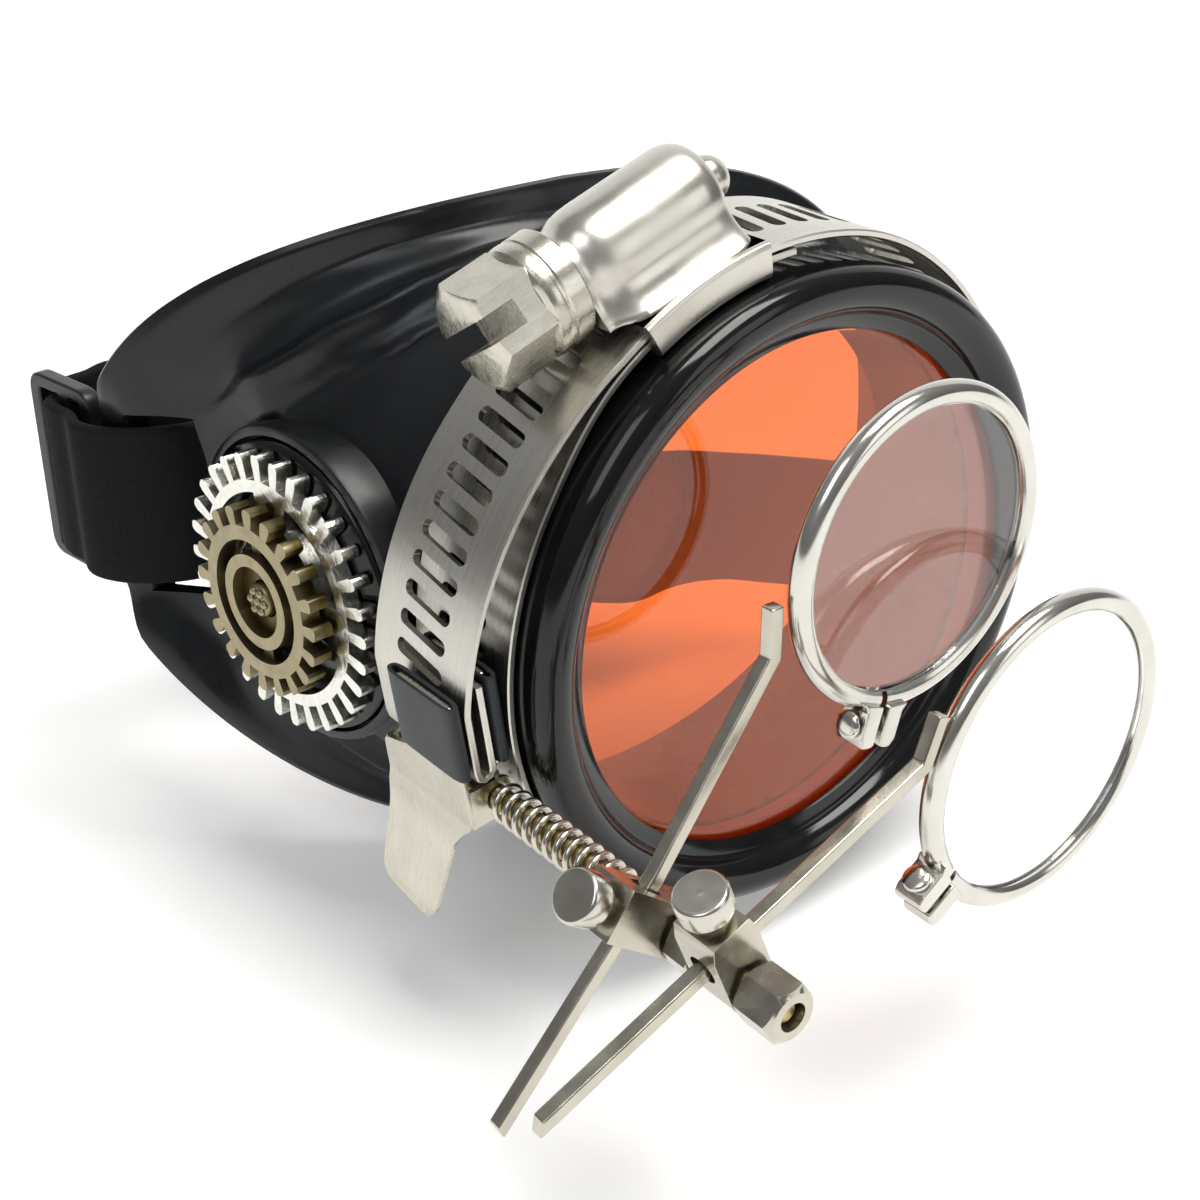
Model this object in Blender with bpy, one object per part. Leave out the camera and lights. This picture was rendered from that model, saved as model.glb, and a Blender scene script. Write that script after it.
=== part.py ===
"""Monocle loupe: a half goggle with a tinted lens, a hose clamp and a clip-on double loupe.

The origin is the centre of the main lens's front face. X runs right, Z up, and the lens looks along -Y.
All lengths are metres.
"""
import math

import bmesh
import bpy
from mathutils import Matrix, Vector

for old in list(bpy.data.objects):
    bpy.data.objects.remove(old, do_unlink=True)

TAU = 2 * math.pi
ACROSS = Vector((1, 0, 0))
BACK = Vector((0, 1, 0))
UP = Vector((0, 0, 1))

# Gaps
GAP = 0.0003
FIT_GAP = 0.00015
TINY = 0.000001
OVERRUN = 0.002

# Main lens and retaining ring
RING_R = 0.0284
LENS_PLAY = 0.0009
LENS_OVERLAP = 0.0026
LENS_T = 0.0022
LENS_SHOW = 0.0003
LENS_BEVEL = 0.0004
GASKET_LAND = 0.0024
GASKET_T = 0.0012
RING_WALL = 0.0019
RING_CREST = 0.0029
RING_STEP_W = 0.0016
RING_STEP_DEPTH = 0.0008
RING_SIDES = 48

# Goggle cup
BARREL_WALL = 0.0032
BARREL_GAP = 0.0004
NECK_DROP = 0.0004
NECK_L = 0.0010
CUP_WALL = 0.0020
CUP_SIDE_FLARE = 0.0065
CUP_TOP_FLARE = 0.0020
CUP_OFF_X = 0.0040
CUP_OFF_Z = 0.0010
NOSE_DEPTH = 0.0215
MIDDLE_DEPTH = 0.0265
TEMPLE_DEPTH = 0.0520
LIP_H = 0.0018
CUP_SIDES = 40
TOP_ROUND_SHARE = 2.8
BOTTOM_ROUND_SHARE = 2.05
TEMPLE_CURVE_SHARE = 2.6
FLARE_SHARE = 1.25
CUP_OUTER_SHARES = (0.0, 0.15, 0.32, 0.5, 0.66, 0.78)
CUP_LIP_SHARES = ((0.84, 0.6), (0.90, 1.0), (0.97, 1.0), (1.0, 0.4))
CUP_INNER_SHARES = (1.0, 0.72, 0.45, 0.2, 0.03)
LIP_GAP_SHARE = 0.13

# Vent boss, vent cap and gears
GEAR_STAND = 0.0050
GEAR_Y = 0.0280
GEAR_Z = -0.0006
GEAR_TILT = math.radians(5.7)
SILVER_R = 0.0125
SILVER_T = 0.0016
SILVER_TOOTH = 0.0019
SILVER_HOLE_R = 0.0052
SILVER_TEETH = 30
BRONZE_R = 0.0085
BRONZE_T = 0.0018
BRONZE_TOOTH = 0.0013
BRONZE_TEETH = 20
BRONZE_RIM = 0.0016
BRONZE_HUB_R = 0.0042
BRONZE_EYE_R = 0.0020
SPOKE_W = 0.0014
SPOKES = 4
ROSETTE_R = 0.0015
ROSETTE_H = 0.0020
PETALS = 6
CAP_R = 0.0131
CAP_T = 0.0018
PLUG_R = 0.0110
PLUG_H = 0.0030
BOSS_WALL = 0.0009
BOSS_DEPTH = 0.0050
BOSS_RISE = 0.0018
SEAT_SHARE = 1.62

# Strap slots, strap and slider
SLOT_Y = 0.0452
SLOT_W = 0.0053
SLOT_H = 0.0180
SLOT_REACH = 0.0050
STRAP_W = 0.0155
STRAP_T = 0.0012
STRAP_Z = 0.0015
STRAP_SEAT = 0.0005
SLIDER_W = 0.0100
SLIDER_H = 0.0188
SLIDER_T = 0.0016
SLIDER_BAR = 0.0017
SLIDER_LEAN = math.radians(8.6)

# Clamp band
BAND_T = 0.0006
BAND_W = 0.0127
BAND_FRONT = 0.0005
BAND_REAR_GAP = 0.0006
BAND_GAP = 0.0002
SADDLE_T = 0.0005
SLOT_PITCH = 0.0024
SLOT_START = 0.0216
SLOT_LENGTH = 0.0062
SLOT_WIDTH = 0.0013
SLOT_SLANT = math.radians(8)
CLAMP_ANGLE = math.radians(110)
BAND_START = math.radians(92)
BAND_LIFT = math.radians(127)
BAND_REST = math.radians(150)
BAND_CLIMB = math.radians(385)
BAND_ON_TOP = math.radians(440)
BAND_LEAVE = math.radians(486)
BAND_STEP = math.radians(6)
TAIL_STAND = 0.0015
TAIL_CENTRE_X = -0.0021
TAIL_CENTRE_Z = -0.0024
HOOK_R = 0.0007
HOOK_RISE = 0.0032
HOOK_TOP = 0.0088
HOOK_END = 0.0108

# Clamp housing and worm screw
WORM_R = 0.0032
WORM_ROOT_R = 0.0027
WORM_GROOVES = 3
HOUSING_WALL = 0.0008
HOUSING_FRONT = 0.0080
HOUSING_REAR = 0.0060
SKIRT_INSET = 0.00015
HOUSING_SKIRT_H = 0.0007
HOUSING_ROUND = 0.0011
NECK_SCREW_R = 0.0019
COLLAR_R = 0.0046
COLLAR_L = 0.0036
HEX_AF = 0.0080
HEX_L = 0.0048
DRIVER_W = 0.0020
DRIVER_DEPTH = 0.0030
DRIVER_ANGLE = math.radians(150)
SCREW_TAIL = 0.0090
SADDLE_HALF = math.radians(11.5)
SADDLE_EDGE = 0.0009
SADDLE_LEG = 0.0022

# Clip
PIN_STAND = 0.0015
PIN_DROP = 0.00434
CLIP_LEAN = math.radians(8)
PIN_R = 0.00095
PIN_HOLE_R = 0.00115
PLATE_T = 0.00045
SLEEVE_WALL = 0.00033
SLEEVE_GAP = 0.0001
JAW_FRONT = 0.0009
JAW_REAR = 0.0086
JAW_TOP = 0.0110
EAR_R = 0.00175
LEVER_EAR_FRONT = 0.0009
LEVER_EAR_REAR = 0.0124
JAW_EAR_INSET = 0.0008
LEVER_TOP = 0.0099
LEVER_KNEE = 0.0026
LEVER_TIP = 0.0118
LEVER_KICK = 0.0030
TORSION_WIRE_R = 0.00025
TORSION_TURNS = 5

# Loupe shaft and its stack, measured forward from the lens plane
SHAFT_REAR = 0.0131
SHAFT_HEAD_R = 0.0015
SHAFT_HEAD_T = 0.0006
SPRING_WIRE_R = 0.00027
SPRING_R = 0.00142
SPRING_BACK = 0.0001
SPRING_LENGTH = 0.0152
SPRING_TURNS = 12
WASHER_R = 0.0019
WASHER_T = 0.0005
BLOCK_DEPTH = 0.0040
BLOCK_1_FRONT = 0.0210
SPACER_L = 0.0025
HEX_SMALL = 0.0040
NUT_L = 0.0035
SHAFT_HOLE_R = 0.0011

# Pivot blocks, thumb screws and arms
BLOCK_W = 0.0040
BLOCK_HEAD = 0.0033
BLOCK_HEEL = 0.0019
ROD_SIDE = 0.00115
ROD_HOLE_R = 0.00115
ROD_1_OFFSET = 0.0038
ROD_2_OFFSET = 0.0026
BLOCK_1_TURN = math.radians(-36.9)
BLOCK_2_TURN = math.radians(-68.0)
THUMB_R = 0.0020
THUMB_L = 0.0024
THUMB_NECK_R = 0.0008
THUMB_NECK_GAP = 0.00065
THUMB_HOLE_R = 0.00095
ARM_1_LOWER = math.radians(47.3)
ARM_1_TAIL = 0.0177
ARM_1_KNEE = 0.0029
ARM_2_ANGLE = math.radians(22.0)
ARM_2_TAIL = 0.0172
TAB_L = 0.0039

# Loupe rims and lenses
RIM_SECTION_R = 0.0009
RIM_GROOVE_W = 0.0010
RIM_GROOVE_DEPTH = 0.0005
RIM_1_R = 0.0124
RIM_1_ACROSS = 0.0223
RIM_1_UP = 0.0227
RIM_1_AHEAD = 0.0008
RIM_1_LUG = math.radians(-106)
RIM_2_R = 0.0131
RIM_2_ACROSS = 0.0309
RIM_2_UP = 0.0057
RIM_2_AHEAD = 0.0003
RIM_2_LUG = math.radians(-147)
RIM_STEPS = 32
SLIT = 0.0006
LUG_T = 0.0016
LUG_H = 0.0028
LUG_DEPTH = 0.0026
LUG_SINK = 0.0004
RIM_SCREW_R = 0.0005
RIM_SCREW_HOLE_R = 0.0007
RIM_HEAD_R = 0.0011
RIM_HEAD_T = 0.0006
LOUPE_EDGE_T = 0.0007
LOUPE_BULGE = 0.0007
LOUPE_GAP = 0.0001


def material(name, colour, roughness, metallic=0.0, transmission=0.0):
    made = bpy.data.materials.new(name)
    made.use_nodes = True
    shader = made.node_tree.nodes["Principled BSDF"]
    shader.inputs["Base Color"].default_value = (*colour, 1.0)
    shader.inputs["Roughness"].default_value = roughness
    shader.inputs["Metallic"].default_value = metallic
    shader.inputs["Transmission Weight"].default_value = transmission
    made.diffuse_color = (*colour, 1.0)
    return made


def add(name, data, look, matrix=None):
    """Put a mesh or a curve in the scene under the node's name."""
    piece = bpy.data.objects.new(name, data)
    bpy.context.scene.collection.objects.link(piece)
    if look is not None:
        data.materials.append(look)
    if matrix is not None:
        piece.matrix_world = matrix
    return piece


def mesh_from(bm, name, smooth=True):
    bmesh.ops.remove_doubles(bm, verts=bm.verts, dist=TINY)
    bmesh.ops.recalc_face_normals(bm, faces=bm.faces)
    mesh = bpy.data.meshes.new(name)
    bm.to_mesh(mesh)
    bm.free()
    if smooth:
        mesh.shade_smooth()
        mesh.set_sharp_from_angle(angle=math.radians(35))
    return mesh


def prism(name, outline, low, high, smooth=True):
    """Extrude an outline of (x, y) points from z = low to z = high."""
    bm = bmesh.new()
    face = bm.faces.new([bm.verts.new((x, y, low)) for x, y in outline])
    grown = bmesh.ops.extrude_face_region(bm, geom=[face])
    top = [item for item in grown["geom"] if isinstance(item, bmesh.types.BMVert)]
    bmesh.ops.translate(bm, verts=top, vec=Vector((0, 0, high - low)))
    return mesh_from(bm, name, smooth)


def turned(name, profile, sides, closed=False):
    """Spin a profile of (radius, z) points about Z; a closed profile makes a ring."""
    bm = bmesh.new()
    verts = [bm.verts.new((radius, 0, z)) for radius, z in profile]
    pairs = list(zip(verts, verts[1:]))
    if closed:
        pairs.append((verts[-1], verts[0]))
    edges = [bm.edges.new(pair) for pair in pairs]
    bmesh.ops.spin(bm, geom=verts + edges, cent=(0, 0, 0), axis=UP, angle=TAU, steps=sides, use_merge=True)
    bmesh.ops.remove_doubles(bm, verts=bm.verts, dist=TINY)
    return mesh_from(bm, name)


def tube(name, points, radius, look, resolution=1):
    """A round wire through the points, with closed ends."""
    curve = bpy.data.curves.new(name, "CURVE")
    curve.dimensions = "3D"
    curve.bevel_depth = radius
    curve.bevel_resolution = resolution
    curve.use_fill_caps = True
    curve.render_resolution_u = 0
    line = curve.splines.new("POLY")
    line.points.add(len(points) - 1)
    for spot, point in zip(line.points, points):
        spot.co = (*point, 1)
    return add(name, curve, look)


def frame_at(origin, z_axis, x_axis):
    """World matrix with local Z and X along the given directions."""
    z_axis = z_axis.normalized()
    x_axis = (x_axis - z_axis * x_axis.dot(z_axis)).normalized()
    y_axis = z_axis.cross(x_axis)
    turn = Matrix((x_axis, y_axis, z_axis)).transposed().to_4x4()
    return Matrix.Translation(origin) @ turn


def use_tool(target, tool, operation):
    tool.hide_render = True
    tool.display_type = "WIRE"
    step = target.modifiers.new(tool.name, "BOOLEAN")
    step.operation = operation
    step.solver = "EXACT"
    step.object = tool
    return target


def cut(target, tool):
    return use_tool(target, tool, "DIFFERENCE")


def join(target, tool):
    return use_tool(target, tool, "UNION")


def polygon(radius, sides, phase=0.0):
    return [
        (radius * math.cos(phase + TAU * i / sides), radius * math.sin(phase + TAU * i / sides))
        for i in range(sides)
    ]


def hexagon(across_flats):
    return polygon(across_flats / math.sqrt(3), 6)


def box_outline(x0, x1, y0, y1):
    return [(x0, y0), (x1, y0), (x1, y1), (x0, y1)]


def gear_outline(radius, tooth, teeth, tip_share=0.28, root_share=0.44):
    points = []
    for i in range(teeth):
        middle = TAU * i / teeth
        half = TAU / teeth / 2
        corners = ((-tooth, -root_share), (0, -tip_share), (0, tip_share), (-tooth, root_share))
        for reach, width in corners:
            angle = middle + half * 2 * width
            points.append(((radius + reach) * math.cos(angle), (radius + reach) * math.sin(angle)))
    return points


PVC = material("cup_pvc", (0.016, 0.017, 0.020), 0.32)
GLOSS = material("ring_gloss_plastic", (0.010, 0.010, 0.012), 0.12)
RUBBER = material("black_rubber", (0.055, 0.060, 0.066), 0.75)
ELASTIC = material("strap_elastic", (0.014, 0.014, 0.016), 0.9)
TINT = material("orange_lens", (1.0, 0.20, 0.06), 0.03, 0.0, 0.8)
CLEAR = material("clear_glass", (0.95, 0.96, 0.96), 0.02, 0.0, 1.0)
STEEL = material("stainless_steel", (0.55, 0.54, 0.50), 0.28, 1.0)
NICKEL = material("warm_nickel", (0.47, 0.44, 0.38), 0.22, 1.0)
SILVER = material("silver_plate", (0.86, 0.86, 0.80), 0.2, 1.0)
BRONZE = material("bronze_plate", (0.22, 0.18, 0.11), 0.35, 1.0)
BRASS = material("brass", (0.40, 0.33, 0.14), 0.3, 1.0)

ring_depth = BAND_FRONT + BAND_W - BAND_REAR_GAP
lens_r = RING_R - RING_WALL - LENS_PLAY
aperture_r = lens_r - LENS_OVERLAP
ring_step_r = aperture_r + RING_STEP_W
LENS_FRAME = frame_at(Vector((0, 0, 0)), BACK, ACROSS)


# Main lens, gasket and retaining ring; the lens has a bevelled edge that the ring holds down
face_r = aperture_r - LENS_SHOW
lens_profile = [(0, 0), (face_r, 0), (lens_r, LENS_BEVEL), (lens_r, LENS_T), (0, LENS_T)]
add(
    "main_lens",
    turned("main_lens", lens_profile, RING_SIDES),
    TINT,
    LENS_FRAME,
)
gasket_inner_r = lens_r - GASKET_LAND
gasket_front = LENS_T + GAP
gasket_back = gasket_front + GASKET_T
add(
    "lens_gasket",
    turned(
        "lens_gasket",
        [
            (gasket_inner_r, gasket_front),
            (lens_r, gasket_front),
            (lens_r, gasket_back),
            (gasket_inner_r, gasket_back),
        ],
        RING_SIDES,
        closed=True,
    ),
    RUBBER,
    LENS_FRAME,
)
ring_inner = RING_R - RING_WALL
ring_lip = RING_R - aperture_r
ring_profile = [
    (ring_inner, ring_depth),
    (ring_inner, -GAP),
    (aperture_r, -GAP),
    (aperture_r, -GAP - RING_STEP_DEPTH / 2),
    (ring_step_r - RING_STEP_DEPTH / 2, -GAP - RING_STEP_DEPTH),
    (ring_step_r, -RING_CREST * 0.62),
    (ring_step_r + ring_lip * 0.16, -RING_CREST * 0.93),
    (ring_step_r + ring_lip * 0.36, -RING_CREST),
    (RING_R - ring_lip * 0.12, -RING_CREST * 0.86),
    (RING_R, -RING_CREST * 0.52),
    (RING_R, ring_depth),
]
add("retaining_ring", turned("retaining_ring", ring_profile, RING_SIDES, closed=True), GLOSS, LENS_FRAME)


# Goggle cup
barrel_front = gasket_back + GAP
barrel_r = ring_inner - GAP
barrel_rear = ring_depth + BARREL_GAP
neck_r = RING_R - NECK_DROP
neck_y = barrel_rear + NECK_L
cup_half_width = neck_r + CUP_SIDE_FLARE
cup_half_height = neck_r + CUP_TOP_FLARE


def signed_power(value, power):
    return math.copysign(abs(value) ** power, value)


def rim_point(angle):
    """A point of the cup's rear edge: (x, z) and its depth."""
    c = math.cos(angle)
    s = math.sin(angle)
    roundness = TOP_ROUND_SHARE if s > 0 else BOTTOM_ROUND_SHARE
    x = -CUP_OFF_X + cup_half_width * signed_power(c, 2 / roundness)
    z = -CUP_OFF_Z + cup_half_height * signed_power(s, 2 / roundness)
    toward = (x + CUP_OFF_X) / cup_half_width
    if toward < 0:
        depth = MIDDLE_DEPTH + (TEMPLE_DEPTH - MIDDLE_DEPTH) * (-toward) ** TEMPLE_CURVE_SHARE
    else:
        depth = MIDDLE_DEPTH + (NOSE_DEPTH - MIDDLE_DEPTH) * toward
    return x, z, depth


# The vent sits flush: the wall round it is lowered to the level of the cap's back
gear_out = Vector((-math.cos(GEAR_TILT), -math.sin(GEAR_TILT), 0))
gear_centre = Vector((-neck_r - GEAR_STAND, GEAR_Y, GEAR_Z))
GEAR_FRAME = frame_at(gear_centre, gear_out, BACK)
TO_GEAR = GEAR_FRAME.inverted()
cap_front = -SILVER_T / 2 - GAP
cap_back = cap_front - CAP_T
boss_face = cap_back - GAP
boss_r = CAP_R + GAP + BOSS_WALL
seat_r = boss_r * SEAT_SHARE


def lowered(point, inset):
    """A point of the wall, brought down to the vent's level near the vent."""
    place = TO_GEAR @ point
    level = cap_back - inset
    away = (math.hypot(place.x, place.y) - boss_r) / (seat_r - boss_r)
    if place.z <= level or away >= 1:
        return point
    away = max(0.0, away)
    place.z = level + (place.z - level) * away * away * (3 - 2 * away)
    return GEAR_FRAME @ place


def cup_point(angle, share, inset, lip):
    x1, z1, depth = rim_point(angle)
    along = share ** FLARE_SHARE
    x0 = neck_r * math.cos(angle)
    z0 = neck_r * math.sin(angle)
    x = x0 + (x1 - x0) * along
    z = z0 + (z1 - z0) * along
    centre_x = -CUP_OFF_X * along
    centre_z = -CUP_OFF_Z * along
    out = Vector((x - centre_x, z - centre_z)).normalized()
    from_temple = abs(abs(angle / math.pi) - 1)
    lip_here = lip * LIP_H * min(1.0, max(0.0, (from_temple - LIP_GAP_SHARE) / LIP_GAP_SHARE))
    grow = lip_here - inset
    point = Vector((x + out.x * grow, neck_y + (depth - neck_y) * share, z + out.y * grow))
    return lowered(point, inset)


def circle_point(angle, radius, depth):
    return Vector((radius * math.cos(angle), depth, radius * math.sin(angle)))


bm = bmesh.new()
rings = []
angles = [-math.pi + TAU * i / CUP_SIDES for i in range(CUP_SIDES)]
for radius, depth in (
    (aperture_r, barrel_front),
    (barrel_r, barrel_front),
    (barrel_r, barrel_rear),
):
    rings.append([bm.verts.new(circle_point(a, radius, depth)) for a in angles])
for share in CUP_OUTER_SHARES:
    rings.append([bm.verts.new(cup_point(a, share, 0, 0)) for a in angles])
for share, lip in CUP_LIP_SHARES:
    rings.append([bm.verts.new(cup_point(a, share, 0, lip)) for a in angles])
for share in CUP_INNER_SHARES:
    rings.append([bm.verts.new(cup_point(a, share, CUP_WALL, 0)) for a in angles])
rings.append([bm.verts.new(circle_point(a, aperture_r, barrel_rear)) for a in angles])
for ring, following in zip(rings, rings[1:] + rings[:1]):
    for i in range(CUP_SIDES):
        j = (i + 1) % CUP_SIDES
        bm.faces.new((ring[i], ring[j], following[j], following[i]))
cup = add("goggle_cup", mesh_from(bm, "goggle_cup"), PVC)

# The vent boss stands on the temple side and holds the cap in a pocket
boss = add(
    "boss_tool",
    prism("boss_tool", polygon(boss_r, CUP_SIDES), boss_face - BOSS_DEPTH, boss_face + BOSS_RISE),
    None,
    GEAR_FRAME,
)
join(cup, boss)
pocket = add(
    "boss_pocket",
    prism("boss_pocket", polygon(CAP_R + GAP, CUP_SIDES), boss_face, BOSS_DEPTH + CAP_R),
    None,
    GEAR_FRAME,
)
cut(cup, pocket)
plug_hole = add(
    "plug_hole",
    prism("plug_hole", polygon(PLUG_R + GAP, 32), boss_face - BOSS_DEPTH - OVERRUN, boss_face + OVERRUN),
    None,
    GEAR_FRAME,
)
cut(cup, plug_hole)

# A slot through the temple wall for the strap
slot_wall_x = cup_point(-math.pi, (SLOT_Y - neck_y) / (TEMPLE_DEPTH - neck_y), CUP_WALL / 2, 0).x
slot_tool = add(
    "temple_slot",
    prism(
        "temple_slot",
        box_outline(SLOT_Y - SLOT_W / 2, SLOT_Y + SLOT_W / 2, STRAP_Z - SLOT_H / 2, STRAP_Z + SLOT_H / 2),
        -SLOT_REACH,
        SLOT_REACH,
    ),
    None,
    frame_at(Vector((slot_wall_x, 0, 0)), ACROSS, BACK),
)
cut(cup, slot_tool)

# Vent cap and the two gears on it
cap = add("vent_cap", prism("vent_cap", polygon(CAP_R, CUP_SIDES), cap_back, cap_front), PVC, GEAR_FRAME)
plug = add(
    "plug_tool",
    prism("plug_tool", polygon(PLUG_R, 32), cap_back - PLUG_H, cap_back + CAP_T / 2),
    None,
    GEAR_FRAME,
)
join(cap, plug)

silver_outline = gear_outline(SILVER_R, SILVER_TOOTH, SILVER_TEETH)
silver = add(
    "silver_gear",
    prism("silver_gear", silver_outline, -SILVER_T / 2, SILVER_T / 2, False),
    SILVER,
    GEAR_FRAME,
)
silver_hole = add(
    "silver_hole", prism("silver_hole", polygon(SILVER_HOLE_R, 24), -SILVER_T, SILVER_T), None, GEAR_FRAME
)
cut(silver, silver_hole)

bronze_low = SILVER_T / 2 + GAP
bronze_high = bronze_low + BRONZE_T
bronze_outline = gear_outline(BRONZE_R, BRONZE_TOOTH, BRONZE_TEETH)
bronze = add(
    "bronze_gear",
    prism("bronze_gear", bronze_outline, bronze_low, bronze_high, False),
    BRONZE,
    GEAR_FRAME,
)
window_outer = BRONZE_R - BRONZE_TOOTH - BRONZE_RIM
for i in range(SPOKES):
    start = TAU * i / SPOKES
    outline = []
    for radius, flip in ((BRONZE_HUB_R, 1), (window_outer, -1)):
        side = SPOKE_W / 2 / radius
        span = TAU / SPOKES - 2 * side
        row = [start + side + span * k / 4 for k in range(5)]
        for angle in row[::flip]:
            outline.append((radius * math.cos(angle), radius * math.sin(angle)))
    window = add(f"bronze_window_{i}", prism("window", outline, 0, bronze_high + OVERRUN), None, GEAR_FRAME)
    cut(bronze, window)
bronze_eye = add(
    "bronze_eye", prism("bronze_eye", polygon(BRONZE_EYE_R, 20), 0, bronze_high + OVERRUN), None, GEAR_FRAME
)
cut(bronze, bronze_eye)

petal_outline = []
for i in range(PETALS * 4):
    angle = TAU * i / (PETALS * 4)
    wave = (1.0, 0.9, 0.72, 0.9)[i % 4]
    petal_outline.append((ROSETTE_R * wave * math.cos(angle), ROSETTE_R * wave * math.sin(angle)))
add(
    "gear_rosette",
    prism("gear_rosette", petal_outline, bronze_low, bronze_low + ROSETTE_H, False),
    BRONZE,
    GEAR_FRAME,
)


# Clamp band: one strip, from its end under the housing round the ring, over itself and out as a hooked tail
inner_line = RING_R + BAND_GAP + BAND_T / 2
lifted_line = inner_line + SADDLE_T + BAND_GAP
top_line = lifted_line + BAND_T + BAND_GAP
clip_up = Vector((-math.sin(CLIP_LEAN), math.cos(CLIP_LEAN)))
clip_out = Vector((-math.cos(CLIP_LEAN), -math.sin(CLIP_LEAN)))
sleeve_t = PLATE_T + 2 * SLEEVE_GAP + 2 * SLEEVE_WALL
ring_face = RING_R + BAND_GAP + BAND_T + BAND_GAP
pin = clip_out * (ring_face + PIN_STAND) - clip_up * PIN_DROP
inner_jaw_out = sleeve_t / 2 - PIN_STAND
return_out = inner_jaw_out + sleeve_t / 2 + FIT_GAP + BAND_T / 2
tail_out = return_out + 2 * HOOK_R
outer_jaw_out = tail_out + BAND_T / 2 + FIT_GAP + sleeve_t / 2


def clip_point(out, up):
    return pin + clip_out * out + clip_up * up


def smooth_step(value):
    value = min(1.0, max(0.0, value))
    return value * value * (3 - 2 * value)


def band_radius(angle):
    if angle < BAND_REST:
        share = smooth_step((angle - BAND_LIFT) / (BAND_REST - BAND_LIFT))
        return lifted_line + (inner_line - lifted_line) * share
    share = smooth_step((angle - BAND_CLIMB) / (BAND_ON_TOP - BAND_CLIMB))
    return inner_line + (top_line - inner_line) * share


route = []
turns = round((BAND_LEAVE - BAND_START) / BAND_STEP)
for i in range(turns + 1):
    angle = BAND_START + (BAND_LEAVE - BAND_START) * i / turns
    route.append(Vector((math.cos(angle), math.sin(angle))) * band_radius(angle))
tail_r = ring_face + TAIL_STAND
tail_centre = Vector((TAIL_CENTRE_X, TAIL_CENTRE_Z))
hook_entry = clip_point(tail_out, HOOK_TOP)
first = (route[-1] - tail_centre)
last = (hook_entry - tail_centre)
start_angle = math.atan2(first.y, first.x)
end_angle = math.atan2(last.y, last.x) % TAU
tail_steps = 9
for i in range(1, tail_steps):
    share = i / tail_steps
    angle = start_angle + (end_angle - start_angle) * share
    radius = first.length + (tail_r - first.length) * smooth_step(share * 3)
    radius += (last.length - tail_r) * smooth_step(share * 3 - 2)
    route.append(tail_centre + Vector((math.cos(angle), math.sin(angle))) * radius)
route.append(hook_entry)
route.append(clip_point(tail_out, (HOOK_TOP + HOOK_RISE) / 2))
hook_steps = 6
for i in range(hook_steps + 1):
    angle = -math.pi * i / hook_steps
    out = (tail_out + return_out) / 2 + HOOK_R * math.cos(angle)
    route.append(clip_point(out, HOOK_RISE + HOOK_R * math.sin(angle)))
route.append(clip_point(return_out, (HOOK_END + HOOK_RISE) / 2))
route.append(clip_point(return_out, HOOK_END))

lengths = [0.0]
for a, b in zip(route, route[1:]):
    lengths.append(lengths[-1] + (b - a).length)
print("band length", round(lengths[-1], 5))


def along_route(distance):
    """Place and left-hand normal of the band's middle line at a distance from its start."""
    distance = min(max(distance, 0.0), lengths[-1])
    i = 0
    while i < len(lengths) - 2 and lengths[i + 1] < distance:
        i += 1
    share = (distance - lengths[i]) / (lengths[i + 1] - lengths[i])

    def heading(k):
        low = max(k - 1, 0)
        high = min(k + 1, len(route) - 1)
        return (route[high] - route[low]).normalized()

    way = heading(i).lerp(heading(i + 1), share).normalized()
    return route[i].lerp(route[i + 1], share), Vector((way.y, -way.x))


slot_first = SLOT_START
hook_length = HOOK_TOP + HOOK_END - 2 * HOOK_RISE + math.pi * HOOK_R
slotted = lengths[-1] - slot_first - hook_length
cells = int(slotted / SLOT_PITCH)
slot_end = slot_first + cells * SLOT_PITCH
bm = bmesh.new()


def band_pair(distance, across):
    """The outer and inner vertex of the strip at a distance along and a place across it."""
    place, normal = along_route(distance)
    pair = []
    for side in (1, -1):
        spot = place + normal * (side * BAND_T / 2)
        pair.append(bm.verts.new((spot.x, BAND_FRONT + across, spot.y)))
    return pair


def both_faces(loop):
    bm.faces.new([pair[0] for pair in loop])
    bm.faces.new([pair[1] for pair in reversed(loop)])


def wall_between(a, b):
    bm.faces.new((a[0], a[1], b[1], b[0]))


stops = [lengths[i] for i in range(len(lengths)) if lengths[i] < slot_first - SLOT_PITCH / 2]
stops += [slot_first + SLOT_PITCH * i for i in range(cells + 1)]
stops += [d for d in lengths if d > slot_end + TINY * 100]
low_slot = (BAND_W - SLOT_LENGTH) / 2
high_slot = (BAND_W + SLOT_LENGTH) / 2
half_slot = SLOT_WIDTH / 2
slot_end_shape = ((-half_slot, half_slot), (0, 0), (half_slot, half_slot))
lean = math.tan(SLOT_SLANT) * SLOT_LENGTH / 2
previous = (band_pair(stops[0], 0), band_pair(stops[0], BAND_W))
wall_between(previous[1], previous[0])
for before, after in zip(stops, stops[1:]):
    following = (band_pair(after, 0), band_pair(after, BAND_W))
    a, d = previous
    b, c = following
    if slot_first - TINY < before < slot_end - TINY:
        middle = (before + after) / 2
        low = [band_pair(middle + lean + x, low_slot + y) for x, y in slot_end_shape]
        high = [band_pair(middle - lean - x, high_slot - y) for x, y in slot_end_shape]
        both_faces([a, b, low[2], low[1], low[0]])
        both_faces([b, c, high[0], low[2]])
        both_faces([c, d, high[2], high[1], high[0]])
        both_faces([d, a, low[0], high[2]])
        hole = low + high
        for one, other in zip(hole, hole[1:] + hole[:1]):
            wall_between(other, one)
    else:
        both_faces([a, b, c, d])
    wall_between(a, b)
    wall_between(c, d)
    previous = following
wall_between(*previous)
bmesh.ops.triangulate(bm, faces=bm.faces)
add("clamp_band", mesh_from(bm, "clamp_band"), STEEL)


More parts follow.
